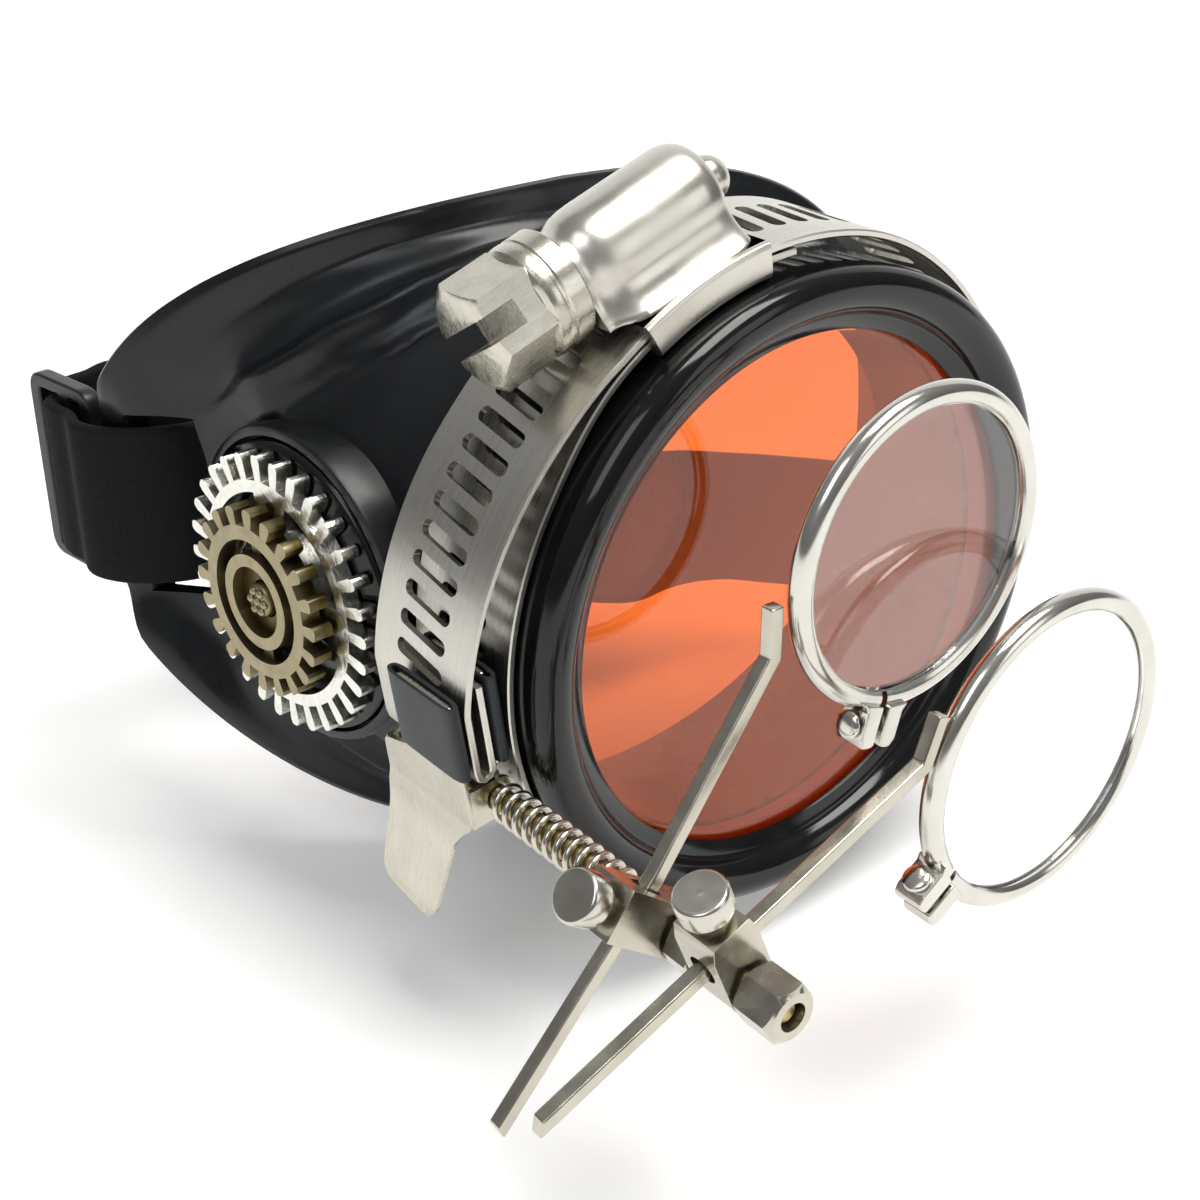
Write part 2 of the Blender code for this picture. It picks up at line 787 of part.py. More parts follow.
# Clamp housing, saddle and worm screw
screw_way = Vector((math.sin(CLAMP_ANGLE), 0, -math.cos(CLAMP_ANGLE)))
clamp_out = Vector((math.cos(CLAMP_ANGLE), 0, math.sin(CLAMP_ANGLE)))
band_top = top_line + BAND_T / 2
housing_foot = band_top + BAND_GAP
screw_axis_r = housing_foot + WORM_R
band_middle = BAND_FRONT + BAND_W / 2
housing_skirt = BAND_W / 2 - SKIRT_INSET
screw_centre = clamp_out * screw_axis_r + BACK * band_middle
SCREW_FRAME = frame_at(screw_centre, screw_way, BACK)
tunnel_r = WORM_R + GAP
dome_r = tunnel_r + HOUSING_WALL
# In the screw's frame X runs back across the band and Y runs inward or outward from it
inward = -1 if (SCREW_FRAME.to_3x3() @ Vector((0, 1, 0))).dot(clamp_out) > 0 else 1
foot = inward * WORM_R
dome_angles = [math.pi * k / 12 for k in range(13)]
dome = [(dome_r * math.cos(a), -inward * dome_r * math.sin(a)) for a in dome_angles]
shoulder = foot - inward * HOUSING_SKIRT_H
waist = foot - inward * (HOUSING_SKIRT_H + housing_skirt - dome_r)
flank_x = dome_r + (housing_skirt - dome_r) * 0.3
flank_y = (shoulder + waist) / 2
housing_outline = (
    [(housing_skirt, foot), (housing_skirt, shoulder), (flank_x, flank_y)]
    + dome
    + [(-flank_x, flank_y), (-housing_skirt, shoulder), (-housing_skirt, foot)]
)
housing = add(
    "clamp_housing",
    prism("clamp_housing", housing_outline, -HOUSING_FRONT, HOUSING_REAR),
    STEEL,
    SCREW_FRAME,
)
rounding = housing.modifiers.new("shoulders", "BEVEL")
rounding.width = HOUSING_ROUND
rounding.segments = 2
rounding.limit_method = "ANGLE"
rounding.angle_limit = math.radians(60)
rounding.use_clamp_overlap = True
tunnel = add(
    "worm_tunnel",
    prism("worm_tunnel", polygon(tunnel_r, 28), -HOUSING_FRONT + HOUSING_WALL, HOUSING_REAR - HOUSING_WALL),
    None,
    SCREW_FRAME,
)
cut(housing, tunnel)
neck_hole = add(
    "neck_hole",
    prism("neck_hole", polygon(NECK_SCREW_R + GAP, 20), -HOUSING_FRONT - OVERRUN, HOUSING_REAR + OVERRUN),
    None,
    SCREW_FRAME,
)
cut(housing, neck_hole)

collar_back = -HOUSING_FRONT - GAP
screw_profile = [
    (0, collar_back - COLLAR_L - HEX_L / 2),
    (COLLAR_R * 0.7, collar_back - COLLAR_L - HEX_L / 2),
    (COLLAR_R * 0.7, collar_back - COLLAR_L),
    (COLLAR_R, collar_back - COLLAR_L),
    (COLLAR_R, collar_back - COLLAR_L * 0.75),
    (COLLAR_R * 0.86, collar_back - COLLAR_L * 0.7),
    (COLLAR_R * 0.86, collar_back - COLLAR_L * 0.55),
    (COLLAR_R, collar_back - COLLAR_L * 0.5),
    (COLLAR_R, collar_back),
    (NECK_SCREW_R, collar_back),
]
worm_front = -HOUSING_FRONT + HOUSING_WALL + GAP
worm_back = HOUSING_REAR - HOUSING_WALL - GAP
screw_profile.append((NECK_SCREW_R, worm_front))
groove = (worm_back - worm_front) / (WORM_GROOVES * 2 + 1)
for i in range(WORM_GROOVES + 1):
    crest = worm_front + groove * 2 * i
    screw_profile.append((WORM_R - GAP, crest))
    screw_profile.append((WORM_R - GAP, crest + groove))
    if i < WORM_GROOVES:
        screw_profile.append((WORM_ROOT_R, crest + groove * 1.35))
        screw_profile.append((WORM_ROOT_R, crest + groove * 1.65))
screw_profile += [
    (NECK_SCREW_R, worm_back),
    (NECK_SCREW_R, SCREW_TAIL - NECK_SCREW_R / 2),
    (NECK_SCREW_R * 0.7, SCREW_TAIL - NECK_SCREW_R * 0.15),
    (0, SCREW_TAIL),
]
screw = add("worm_screw", turned("worm_screw", screw_profile, 18), STEEL, SCREW_FRAME)
hex_front = collar_back - COLLAR_L - HEX_L
hex_tool = add(
    "hex_tool",
    prism("hex_tool", hexagon(HEX_AF), hex_front, collar_back - COLLAR_L + GAP, False),
    None,
    SCREW_FRAME,
)
join(screw, hex_tool)
driver_outline = box_outline(-HEX_AF, HEX_AF, -DRIVER_W / 2, DRIVER_W / 2)
driver = add(
    "driver_slot",
    prism("driver_slot", driver_outline, hex_front - OVERRUN, hex_front + DRIVER_DEPTH),
    None,
    SCREW_FRAME @ Matrix.Rotation(DRIVER_ANGLE, 4, "Z"),
)
cut(screw, driver)

# The saddle is bent round both edges of the two band layers under the housing
saddle_low = RING_R + BAND_GAP
edge_front = BAND_FRONT - SADDLE_EDGE
edge_back = BAND_FRONT + BAND_W + SADDLE_EDGE
leg_r = band_top + BAND_GAP
saddle_profile = [
    (saddle_low, edge_front),
    (leg_r + HOUSING_SKIRT_H, edge_front),
    (leg_r + HOUSING_SKIRT_H, band_middle - housing_skirt - GAP * 2),
    (leg_r, band_middle - housing_skirt - GAP * 2),
    (leg_r, edge_front + SADDLE_T),
    (saddle_low + SADDLE_T, edge_front + SADDLE_T),
    (saddle_low + SADDLE_T, edge_back - SADDLE_T),
    (leg_r, edge_back - SADDLE_T),
    (leg_r, band_middle + housing_skirt + GAP * 2),
    (leg_r + HOUSING_SKIRT_H, band_middle + housing_skirt + GAP * 2),
    (leg_r + HOUSING_SKIRT_H, edge_back),
    (saddle_low, edge_back),
]
bm = bmesh.new()
saddle_steps = 6
slices = []
for i in range(saddle_steps + 1):
    angle = CLAMP_ANGLE - SADDLE_HALF + 2 * SADDLE_HALF * i / saddle_steps
    slices.append([bm.verts.new((r * math.cos(angle), y, r * math.sin(angle))) for r, y in saddle_profile])
bm.faces.new(slices[0])
bm.faces.new(list(reversed(slices[-1])))
count = len(saddle_profile)
for one, other in zip(slices, slices[1:]):
    for i in range(count):
        j = (i + 1) % count
        bm.faces.new((one[i], other[i], other[j], one[j]))
add("clamp_saddle", mesh_from(bm, "clamp_saddle"), STEEL)


# Clip: its frame has X outward from the ring, Y up along the jaws and Z forward, with the pin at the origin
CLIP_FRAME = frame_at(
    Vector((pin.x, 0, pin.y)), -BACK, Vector((clip_out.x, 0, clip_out.y))
)


def clip_spot(out, back, up):
    """World place in the clip's own directions."""
    spot = clip_point(out, up)
    return Vector((spot.x, back, spot.y))


def clip_sheet(name, faces, place, look, origin):
    """Flat sheet metal; place gives the (out, back, up) of a corner on either side of the sheet."""
    bm = bmesh.new()
    low = {}
    high = {}
    edges = set()
    for corners in faces:
        keys = [tuple(round(value / TINY) for value in corner) for corner in corners]
        for known, side in ((low, -1), (high, 1)):
            for key, corner in zip(keys, corners):
                if key not in known:
                    known[key] = bm.verts.new(clip_spot(*place(corner, side)) - origin)
        bm.faces.new([high[key] for key in keys])
        bm.faces.new([low[key] for key in reversed(keys)])
        edges.update(zip(keys, keys[1:] + keys[:1]))
    for one, other in sorted(edges):
        if (other, one) not in edges:
            bm.faces.new((low[one], low[other], high[other], high[one]))
    return add(name, mesh_from(bm, name, False), look, Matrix.Translation(origin))


def ear(name, target, outline, back):
    """Fold an ear, an outline of (out, up) corners, off a plate."""

    def place(corner, side):
        return corner[0], back + side * PLATE_T / 2, corner[1]

    join(target, clip_sheet(name, [outline], place, None, pin_place))


def round_ear(plate_out, toward):
    points = [(plate_out, -EAR_R)]
    for k in range(7):
        angle = -math.pi / 2 + math.pi * k / 6
        points.append((toward * EAR_R * math.cos(angle), EAR_R * math.sin(angle)))
    points.append((plate_out, EAR_R))
    return points


pin_place = Vector((pin.x, 0, pin.y))
lever_front = LEVER_EAR_FRONT
lever_back = LEVER_EAR_REAR
span = lever_back - lever_front
middle_up = -(LEVER_KNEE + LEVER_TIP) / 2
lever_upper = [
    (lever_front, EAR_R * 1.06),
    (JAW_FRONT, EAR_R * 1.35),
    (JAW_FRONT, LEVER_TOP),
    (JAW_REAR, LEVER_TOP),
    (JAW_REAR, EAR_R * 1.6),
    (lever_back, EAR_R * 1.06),
    (lever_back, -EAR_R * 1.06),
    (lever_back + span * 0.02, -LEVER_KNEE),
    (lever_front + span * 0.10, -LEVER_KNEE),
    (lever_front, -EAR_R * 1.06),
]
lever_lower = [
    (lever_front + span * 0.10, -LEVER_KNEE),
    (lever_back + span * 0.02, -LEVER_KNEE),
    (lever_back + span * 0.06, middle_up),
    (lever_back + span * 0.07, middle_up - (LEVER_TIP + middle_up) * 0.76),
    (lever_back + span * 0.03, middle_up - (LEVER_TIP + middle_up) * 0.88),
    (lever_front + span * 0.43, -LEVER_TIP),
    (lever_front + span * 0.36, -LEVER_TIP * 0.965),
    (lever_front + span * 0.29, middle_up),
]


def lever_place(corner, side):
    back, up = corner
    kick = LEVER_KICK * max(0.0, (-up - LEVER_KNEE) / (LEVER_TIP - LEVER_KNEE))
    return outer_jaw_out + kick + side * PLATE_T / 2, back, up


lever = clip_sheet("clip_lever", [lever_upper, lever_lower], lever_place, NICKEL, pin_place)
ear("lever_ear_front", lever, round_ear(outer_jaw_out, -1), lever_front + PLATE_T * 0.6)
ear("lever_ear_back", lever, round_ear(outer_jaw_out, -1), lever_back - PLATE_T * 0.6)
pin_hole = add(
    "pin_hole",
    prism("pin_hole", polygon(PIN_HOLE_R, 16), -lever_back - OVERRUN, OVERRUN),
    None,
    CLIP_FRAME,
)
cut(lever, pin_hole)

jaw_out = inner_jaw_out
jaw_front = lever_front + JAW_EAR_INSET
jaw_back = lever_back - JAW_EAR_INSET
ear_low = EAR_R * 1.2
ear_high = EAR_R * 1.7
jaw_plate = [
    (jaw_front, ear_low),
    (jaw_front, JAW_TOP),
    (JAW_REAR, JAW_TOP),
    (JAW_REAR, ear_high),
    (jaw_back, ear_high),
    (jaw_back, ear_low),
]


def jaw_place(corner, side):
    return jaw_out + side * PLATE_T / 2, corner[0], corner[1]


# Each inner ear drops from the plate's side edge and goes round under the pin
first_angle = -math.acos(jaw_out / EAR_R)
jaw_ear = [(jaw_out, ear_high - PLATE_T), (jaw_out, ear_low)]
for k in range(7):
    angle = first_angle + (math.pi / 2 - first_angle) * k / 6
    jaw_ear.append((EAR_R * math.cos(angle), EAR_R * math.sin(angle)))
jaw_ear += [(jaw_out * 0.5, EAR_R), (jaw_out * 0.5, ear_high - PLATE_T)]
jaw = clip_sheet("clip_jaw", [jaw_plate], jaw_place, NICKEL, pin_place)
ear("jaw_ear_front", jaw, jaw_ear, jaw_front + PLATE_T * 0.6)
ear("jaw_ear_back", jaw, jaw_ear, jaw_back - PLATE_T * 0.6)
cut(jaw, pin_hole)


def sleeve(name, out, low, high, matrix_origin):
    outline = []
    for side_out, back in ((-1, 0), (1, 0), (1, 1), (-1, 1)):
        outline.append((side_out, back))
    bm = bmesh.new()
    loops = []
    for grow in (sleeve_t / 2, sleeve_t / 2 - SLEEVE_WALL):
        extra = SLEEVE_GAP + (SLEEVE_WALL if grow == sleeve_t / 2 else 0)
        for up in (low, high):
            loop = []
            for side_out, back in outline:
                depth = JAW_FRONT - PLATE_T / 2 - extra if back == 0 else JAW_REAR + PLATE_T / 2 + extra
                loop.append(bm.verts.new(clip_spot(out + side_out * grow, depth, up) - matrix_origin))
            loops.append(loop)
    for one, other in ((0, 1), (1, 3), (3, 2), (2, 0)):
        for k in range(4):
            n = (k + 1) % 4
            bm.faces.new((loops[one][k], loops[one][n], loops[other][n], loops[other][k]))
    return add(name, mesh_from(bm, name), RUBBER, Matrix.Translation(matrix_origin))


sleeve("outer_sleeve", outer_jaw_out, EAR_R * 1.6 + GAP * 2, LEVER_TOP + GAP, pin_place)
sleeve("inner_sleeve", inner_jaw_out, EAR_R * 1.6 + GAP * 2, JAW_TOP + GAP, Vector((0, 0, 0)))


def coil(centre, radius, start_back, length, turns, per_turn=9):
    """Points of a coil about the pin line, running forward from start_back."""
    points = []
    for k in range(turns * per_turn + 1):
        angle = TAU * k / per_turn
        back = start_back - length * k / (turns * per_turn)
        points.append(Vector((centre.x + radius * math.cos(angle), back, centre.y + radius * math.sin(angle))))
    return points


def least_gap(points, radius, skip):
    """Least clear gap between parts of one wire that lie more than skip points apart."""
    least = 1.0
    for i in range(len(points)):
        for j in range(i + skip, len(points) - 1):
            a, b, p = points[j], points[j + 1], points[i]
            t = max(0.0, min(1.0, (p - a).dot(b - a) / (b - a).length_squared))
            least = min(least, (a.lerp(b, t) - p).length)
    return least - 2 * radius


torsion_r = PIN_R + TORSION_WIRE_R + GAP
torsion_back = jaw_back - PLATE_T - GAP - TORSION_WIRE_R * 2
torsion_front = jaw_front + PLATE_T + GAP + TORSION_WIRE_R * 2
torsion_points = coil(pin, torsion_r, torsion_back, torsion_back - torsion_front, TORSION_TURNS)
tube("torsion_spring", torsion_points, TORSION_WIRE_R, NICKEL)
print("torsion spring gap", round(least_gap(torsion_points, TORSION_WIRE_R, 5), 5))


# Loupe shaft and what it carries; forward is -Y
block_1_y = -(BLOCK_1_FRONT - BLOCK_DEPTH / 2)
spacer_back = -BLOCK_1_FRONT - GAP
block_2_back = spacer_back - SPACER_L - GAP
block_2_y = block_2_back - BLOCK_DEPTH / 2
nut_back = block_2_back - BLOCK_DEPTH - GAP
shaft_front = nut_back - NUT_L + GAP * 2
SHAFT_FRAME = frame_at(Vector((pin.x, 0, pin.y)), -BACK, ACROSS)
shaft_profile = [
    (0, -SHAFT_REAR - SHAFT_HEAD_T),
    (SHAFT_HEAD_R * 0.7, -SHAFT_REAR - SHAFT_HEAD_T),
    (SHAFT_HEAD_R, -SHAFT_REAR - SHAFT_HEAD_T / 2),
    (SHAFT_HEAD_R, -SHAFT_REAR),
    (PIN_R, -SHAFT_REAR),
    (PIN_R, -shaft_front - PIN_R / 2),
    (PIN_R / 2, -shaft_front),
    (0, -shaft_front),
]
add("loupe_shaft", turned("loupe_shaft", shaft_profile, 16), BRASS, SHAFT_FRAME)

spring_points = coil(pin, SPRING_R, SPRING_BACK, SPRING_LENGTH, SPRING_TURNS)
tube("friction_spring", spring_points, SPRING_WIRE_R, NICKEL)
print("friction spring gap", round(least_gap(spring_points, SPRING_WIRE_R, 5), 5))

washer_back = SPRING_BACK - SPRING_LENGTH - SPRING_WIRE_R - GAP
collar_front = block_1_y + BLOCK_DEPTH / 2 + GAP
add(
    "shaft_washer",
    turned(
        "shaft_washer",
        [
            (SHAFT_HOLE_R, -washer_back),
            (WASHER_R, -washer_back),
            (WASHER_R, -washer_back + WASHER_T),
            (WASHER_R * 0.8, -washer_back + WASHER_T),
            (WASHER_R * 0.8, -collar_front),
            (SHAFT_HOLE_R, -collar_front),
        ],
        20,
        closed=True,
    ),
    NICKEL,
    SHAFT_FRAME,
)
hex_spacer = add(
    "hex_spacer",
    prism("hex_spacer", hexagon(HEX_SMALL), -spacer_back, -spacer_back + SPACER_L, False),
    NICKEL,
    SHAFT_FRAME,
)
bore = add(
    "spacer_bore",
    prism("spacer_bore", polygon(SHAFT_HOLE_R, 16), -spacer_back - OVERRUN, -spacer_back + SPACER_L + OVERRUN),
    None,
    SHAFT_FRAME,
)
cut(hex_spacer, bore)
nut = add(
    "shaft_nut",
    prism("shaft_nut", hexagon(HEX_SMALL), -nut_back, -nut_back + NUT_L, False),
    NICKEL,
    SHAFT_FRAME,
)
nut_bore = add(
    "nut_bore",
    prism("nut_bore", polygon(SHAFT_HOLE_R, 16), -nut_back - OVERRUN, -nut_back + NUT_L + OVERRUN),
    None,
    SHAFT_FRAME,
)
cut(nut, nut_bore)


def pivot_block(name, y, turn, rod_offset, rounded):
    """A block on the shaft; its X runs from the thumb screw to the shaft, its Y along the rod."""
    way = Vector((math.cos(turn), 0, math.sin(turn)))
    matrix = frame_at(Vector((pin.x, y, pin.y)), -BACK, way)
    head_end = -(rod_offset + BLOCK_HEAD)
    if rounded:
        heel = [
            (BLOCK_HEEL * math.cos(a), BLOCK_W / 2 * math.sin(a))
            for a in [-math.pi / 2 + math.pi * k / 10 for k in range(11)]
        ]
        outline = [(head_end, -BLOCK_W / 2)] + heel + [(head_end, BLOCK_W / 2)]
    else:
        outline = box_outline(head_end, BLOCK_HEEL, -BLOCK_W / 2, BLOCK_W / 2)
    block = add(name, prism(name, outline, -BLOCK_DEPTH / 2, BLOCK_DEPTH / 2, False), NICKEL, matrix)
    shaft_hole = add(
        name + "_shaft_hole",
        prism("hole", polygon(SHAFT_HOLE_R, 16), -BLOCK_DEPTH, BLOCK_DEPTH),
        None,
        matrix,
    )
    cut(block, shaft_hole)
    rod_matrix = matrix @ Matrix.Translation((-rod_offset, 0, 0)) @ Matrix.Rotation(math.pi / 2, 4, "X")
    rod_tool = prism("hole", polygon(ROD_HOLE_R, 16), -BLOCK_W, BLOCK_W)
    rod_hole = add(name + "_rod_hole", rod_tool, None, rod_matrix)
    cut(block, rod_hole)
    thumb_matrix = matrix @ Matrix.Translation((head_end, 0, 0)) @ Matrix.Rotation(-math.pi / 2, 4, "Y")
    thumb_hole = add(
        name + "_thumb_hole",
        prism("hole", polygon(THUMB_HOLE_R, 16), -BLOCK_HEAD, OVERRUN),
        None,
        thumb_matrix,
    )
    cut(block, thumb_hole)
    return block, way, thumb_matrix


def thumb_screw(name, matrix):
    """The screw's Z runs out of the block; zero is the block's end face."""
    reach = -(BLOCK_HEAD - ROD_SIDE / 2 - GAP)
    head = THUMB_NECK_GAP
    profile = [
        (0, reach),
        (THUMB_NECK_R, reach),
        (THUMB_NECK_R, head),
        (THUMB_R * 0.82, head),
        (THUMB_R, head + THUMB_L * 0.2),
        (THUMB_R, head + THUMB_L * 0.94),
        (THUMB_R * 0.94, head + THUMB_L),
        (0, head + THUMB_L),
    ]
    return add(name, turned(name, profile, 24), NICKEL, matrix)


block_1, way_1, thumb_1_matrix = pivot_block("arm_block_1", block_1_y, BLOCK_1_TURN, ROD_1_OFFSET, False)
block_2, way_2, thumb_2_matrix = pivot_block("arm_block_2", block_2_y, BLOCK_2_TURN, ROD_2_OFFSET, True)
thumb_screw("thumb_screw_1", thumb_1_matrix)
thumb_screw("thumb_screw_2", thumb_2_matrix)


def square_bar(name, points, y):
    """A square bar bent in the XZ plane through the points; its origin is the first of them."""
    origin = points[0]
    sides = ([], [])
    for i, point in enumerate(points):
        before = (point - points[i - 1]).normalized() if i > 0 else None
        after = (points[i + 1] - point).normalized() if i < len(points) - 1 else None
        ways = [way for way in (before, after) if way is not None]
        mean = sum(ways, Vector((0, 0))).normalized()
        normal = Vector((-mean.y, mean.x))
        stretch = 1 / normal.dot(Vector((-ways[0].y, ways[0].x)))
        for row, sign in zip(sides, (1, -1)):
            spot = point + normal * (sign * stretch * ROD_SIDE / 2) - origin
            row.append((spot.x, spot.y))
    outline = sides[0] + sides[1][::-1]
    matrix = frame_at(Vector((origin.x, y, origin.y)), -BACK, ACROSS)
    return add(name, prism(name, outline, -ROD_SIDE / 2, ROD_SIDE / 2, False), NICKEL, matrix)


def flat(vector):
    return Vector((vector.x, vector.z))


def direction(angle):
    return Vector((math.cos(angle), math.sin(angle)))


def tab_ends(rim_centre, rim_radius, touch_angle, low, high):
    """The two ends of a tab that lies along the rim at touch_angle."""
    out = direction(touch_angle)
    along = Vector((out.y, -out.x))
    if along.y < 0:
        along = -along
    middle = rim_centre + out * (rim_radius + GAP + ROD_SIDE / 2)
    return middle + along * low, middle + along * high


rim_1_centre = pin + Vector((RIM_1_ACROSS, RIM_1_UP))
rim_2_centre = pin + Vector((RIM_2_ACROSS, RIM_2_UP))
hole_1 = pin - flat(way_1) * ROD_1_OFFSET
low_1, high_1 = tab_ends(rim_1_centre, RIM_1_R, math.pi, -TAB_L * 1.15, -TAB_L * 0.15)
arm_1_points = [
    hole_1 - direction(ARM_1_LOWER) * ARM_1_TAIL,
    hole_1 + direction(ARM_1_LOWER) * ARM_1_KNEE,
    low_1,
    high_1,
]
square_bar("arm_1", arm_1_points, block_1_y)
hole_2 = pin - flat(way_2) * ROD_2_OFFSET
low_2, high_2 = tab_ends(rim_2_centre, RIM_2_R, math.radians(160), -TAB_L * 0.23, TAB_L * 0.77)
arm_2_points = [hole_2 - direction(ARM_2_ANGLE) * ARM_2_TAIL, low_2, high_2]
square_bar("arm_2", arm_2_points, block_2_y)


def rim(number, centre, radius, y, lug_angle):
    """A split rim with a lens groove, two lugs, their screw and the lens."""
    middle = radius - RIM_SECTION_R
    lens_edge = middle - RIM_SECTION_R + RIM_GROOVE_DEPTH - LOUPE_GAP
    section = []
    for k in range(7):
        angle = -math.radians(146) + math.radians(292) * k / 6
        section.append((middle + RIM_SECTION_R * math.cos(angle), RIM_SECTION_R * math.sin(angle)))
    inner = middle - RIM_SECTION_R
    half = RIM_GROOVE_W / 2
    section += [
        (inner + RIM_GROOVE_DEPTH * 0.35, half),
        (inner + RIM_GROOVE_DEPTH, half),
        (inner + RIM_GROOVE_DEPTH, -half),
        (inner + RIM_GROOVE_DEPTH * 0.35, -half),
    ]
    matrix = frame_at(Vector((centre.x, y, centre.y)), -BACK, ACROSS)
    # The slit faces the lug direction, which is mirrored by the frame's own Y
    sense = 1 if (matrix.to_3x3() @ Vector((0, 1, 0))).z > 0 else -1
    turn = matrix @ Matrix.Rotation(sense * lug_angle, 4, "Z")
    slit_half = SLIT / 2 / middle
    bm = bmesh.new()
    slices = []
    for k in range(RIM_STEPS + 1):
        angle = slit_half + (TAU - 2 * slit_half) * k / RIM_STEPS
        slices.append([bm.verts.new((r * math.cos(angle), r * math.sin(angle), z)) for r, z in section])
    bm.faces.new(slices[0])
    bm.faces.new(slices[-1][::-1])
    total = len(section)
    for one, other in zip(slices, slices[1:]):
        for k in range(total):
            n = (k + 1) % total
            bm.faces.new((one[k], other[k], other[n], one[n]))
    ring = add(f"rim_{number}", mesh_from(bm, "rim"), NICKEL, turn)
    lug_low = radius - LUG_SINK
    for side in (1, -1):
        y0, y1 = sorted((side * SLIT / 2, side * (SLIT / 2 + LUG_T)))
        outline = [
            (lug_low, y0),
            (lug_low + LUG_H * 0.8, y0),
            (lug_low + LUG_H, y0 + (y1 - y0) * 0.3),
            (lug_low + LUG_H, y1 - (y1 - y0) * 0.3),
            (lug_low + LUG_H * 0.8, y1),
            (lug_low, y1),
        ]
        lug_plate = prism("lug", outline, -LUG_DEPTH / 2, LUG_DEPTH / 2)
        lug = add(f"rim_{number}_lug_{side + 1}", lug_plate, None, turn)
        join(ring, lug)
    screw_place = Matrix.Translation((lug_low + LUG_H * 0.55, 0, 0))
    screw_matrix = turn @ screw_place @ Matrix.Rotation(-math.pi / 2, 4, "X")
    if (screw_matrix.to_3x3() @ Vector((0, 0, 1))).x > 0:
        screw_matrix = screw_matrix @ Matrix.Rotation(math.pi, 4, "X")
    hole_tool = prism("hole", polygon(RIM_SCREW_HOLE_R, 12), -LUG_H, LUG_H)
    hole = add(f"rim_{number}_hole", hole_tool, None, screw_matrix)
    cut(ring, hole)
    head = SLIT / 2 + LUG_T + FIT_GAP
    profile = [
        (0, -head),
        (RIM_SCREW_R, -head),
        (RIM_SCREW_R, head),
        (RIM_HEAD_R, head),
        (RIM_HEAD_R, head + RIM_HEAD_T * 0.6),
        (RIM_HEAD_R * 0.7, head + RIM_HEAD_T),
        (0, head + RIM_HEAD_T),
    ]
    add(f"rim_screw_{number}", turned("rim_screw", profile, 12), NICKEL, screw_matrix)
    rise = LOUPE_EDGE_T / 2
    lens_profile = [(0, -rise - LOUPE_BULGE)]
    for k in range(1, 3):
        share = k / 3
        lens_profile.append((lens_edge * share, -rise - LOUPE_BULGE * (1 - share * share)))
    lens_profile += [(lens_edge, -rise), (lens_edge, rise)]
    for k in range(2, 0, -1):
        share = k / 3
        lens_profile.append((lens_edge * share, rise + LOUPE_BULGE * (1 - share * share)))
    lens_profile.append((0, rise + LOUPE_BULGE))
    add(f"loupe_lens_{number}", turned("loupe_lens", lens_profile, 32), CLEAR, matrix)


rim(1, rim_1_centre, RIM_1_R, block_1_y - RIM_1_AHEAD, RIM_1_LUG)
rim(2, rim_2_centre, RIM_2_R, block_2_y - RIM_2_AHEAD, RIM_2_LUG)


# Strap and slider, in plan: out of the temple slot, through the slider and round behind the cup
strap_y = SLOT_Y + STRAP_SEAT
wall_x = cup_point(-math.pi, (strap_y - neck_y) / (TEMPLE_DEPTH - neck_y), 0, 0).x
rim_x = cup_point(-math.pi, 1.0, 0, 0).x
strap_off = STRAP_T / 2 + GAP
slider_way = Vector((-math.sin(SLIDER_LEAN), math.cos(SLIDER_LEAN)))
slider_out = Vector((-slider_way.y, slider_way.x))
slider_spot = Vector((rim_x + STRAP_T / 2, TEMPLE_DEPTH + SLIDER_W * 0.6))
slider_lift = SLIDER_T / 2 + strap_off


def beside_slider(along, out):
    return slider_spot + slider_way * along + slider_out * out


strap_route = [
    beside_slider(-SLIDER_BAR * 0.5, -slider_lift),
    beside_slider(-SLIDER_W * 0.42, -slider_lift - STRAP_T * 0.6),
    Vector((rim_x + CUP_WALL + strap_off * 2.8, TEMPLE_DEPTH - STRAP_T)),
    Vector((wall_x + CUP_WALL + strap_off * 2.6, strap_y + STRAP_T * 2.8)),
    Vector((wall_x + CUP_WALL + strap_off * 3.6, strap_y + STRAP_T)),
    Vector((wall_x + CUP_WALL + strap_off * 1.2, strap_y - STRAP_T * 0.4)),
    Vector((wall_x + CUP_WALL / 4, strap_y - STRAP_T * 0.35)),
    Vector((wall_x - strap_off * 2.8, strap_y + STRAP_T * 0.8)),
    Vector(
        (wall_x + (rim_x - wall_x) * 0.6 - strap_off * 2.2, strap_y + (TEMPLE_DEPTH - strap_y) * 0.5)
    ),
    Vector((rim_x - strap_off * 1.4, TEMPLE_DEPTH - STRAP_T * 0.3)),
    beside_slider(-SLIDER_W * 0.33, slider_lift * 1.1),
    beside_slider(-SLIDER_BAR * 0.6, slider_lift * 1.05),
    beside_slider(SLIDER_W * 0.075, slider_lift * 0.78),
    beside_slider(SLIDER_W * 0.165, 0),
    beside_slider(SLIDER_W * 0.255, -slider_lift * 0.78),
    beside_slider(SLIDER_W * 0.42, -slider_lift * 1.1),
    slider_spot + Vector((STRAP_T * 3.4, SLIDER_W / 2 + STRAP_T * 0.2)),
    slider_spot + Vector((STRAP_T * 7, SLIDER_W / 2 + STRAP_T * 0.6)),
]
strap_route = [Vector((*spot, 0, 0)) for spot in strap_route]

# Behind the cup the strap hangs lower and twists; each spot has a drop and a twist as well
for side_share, depth_share, drop_share, twist in (
    (-0.58, 1.18, 0.26, math.radians(15)),
    (-0.30, 1.11, 0.68, math.radians(40)),
    (0.15, 0.99, 1.10, math.radians(64)),
    (0.41, 0.885, 1.16, math.radians(58)),
    (0.61, 0.815, 1.04, math.radians(15)),
    (0.76, 0.755, 1.03, 0),
    (0.90, 0.675, 1.05, 0),
):
    strap_route.append(
        Vector((cup_half_width * side_share, TEMPLE_DEPTH * depth_share, -STRAP_W * drop_share, twist))
    )


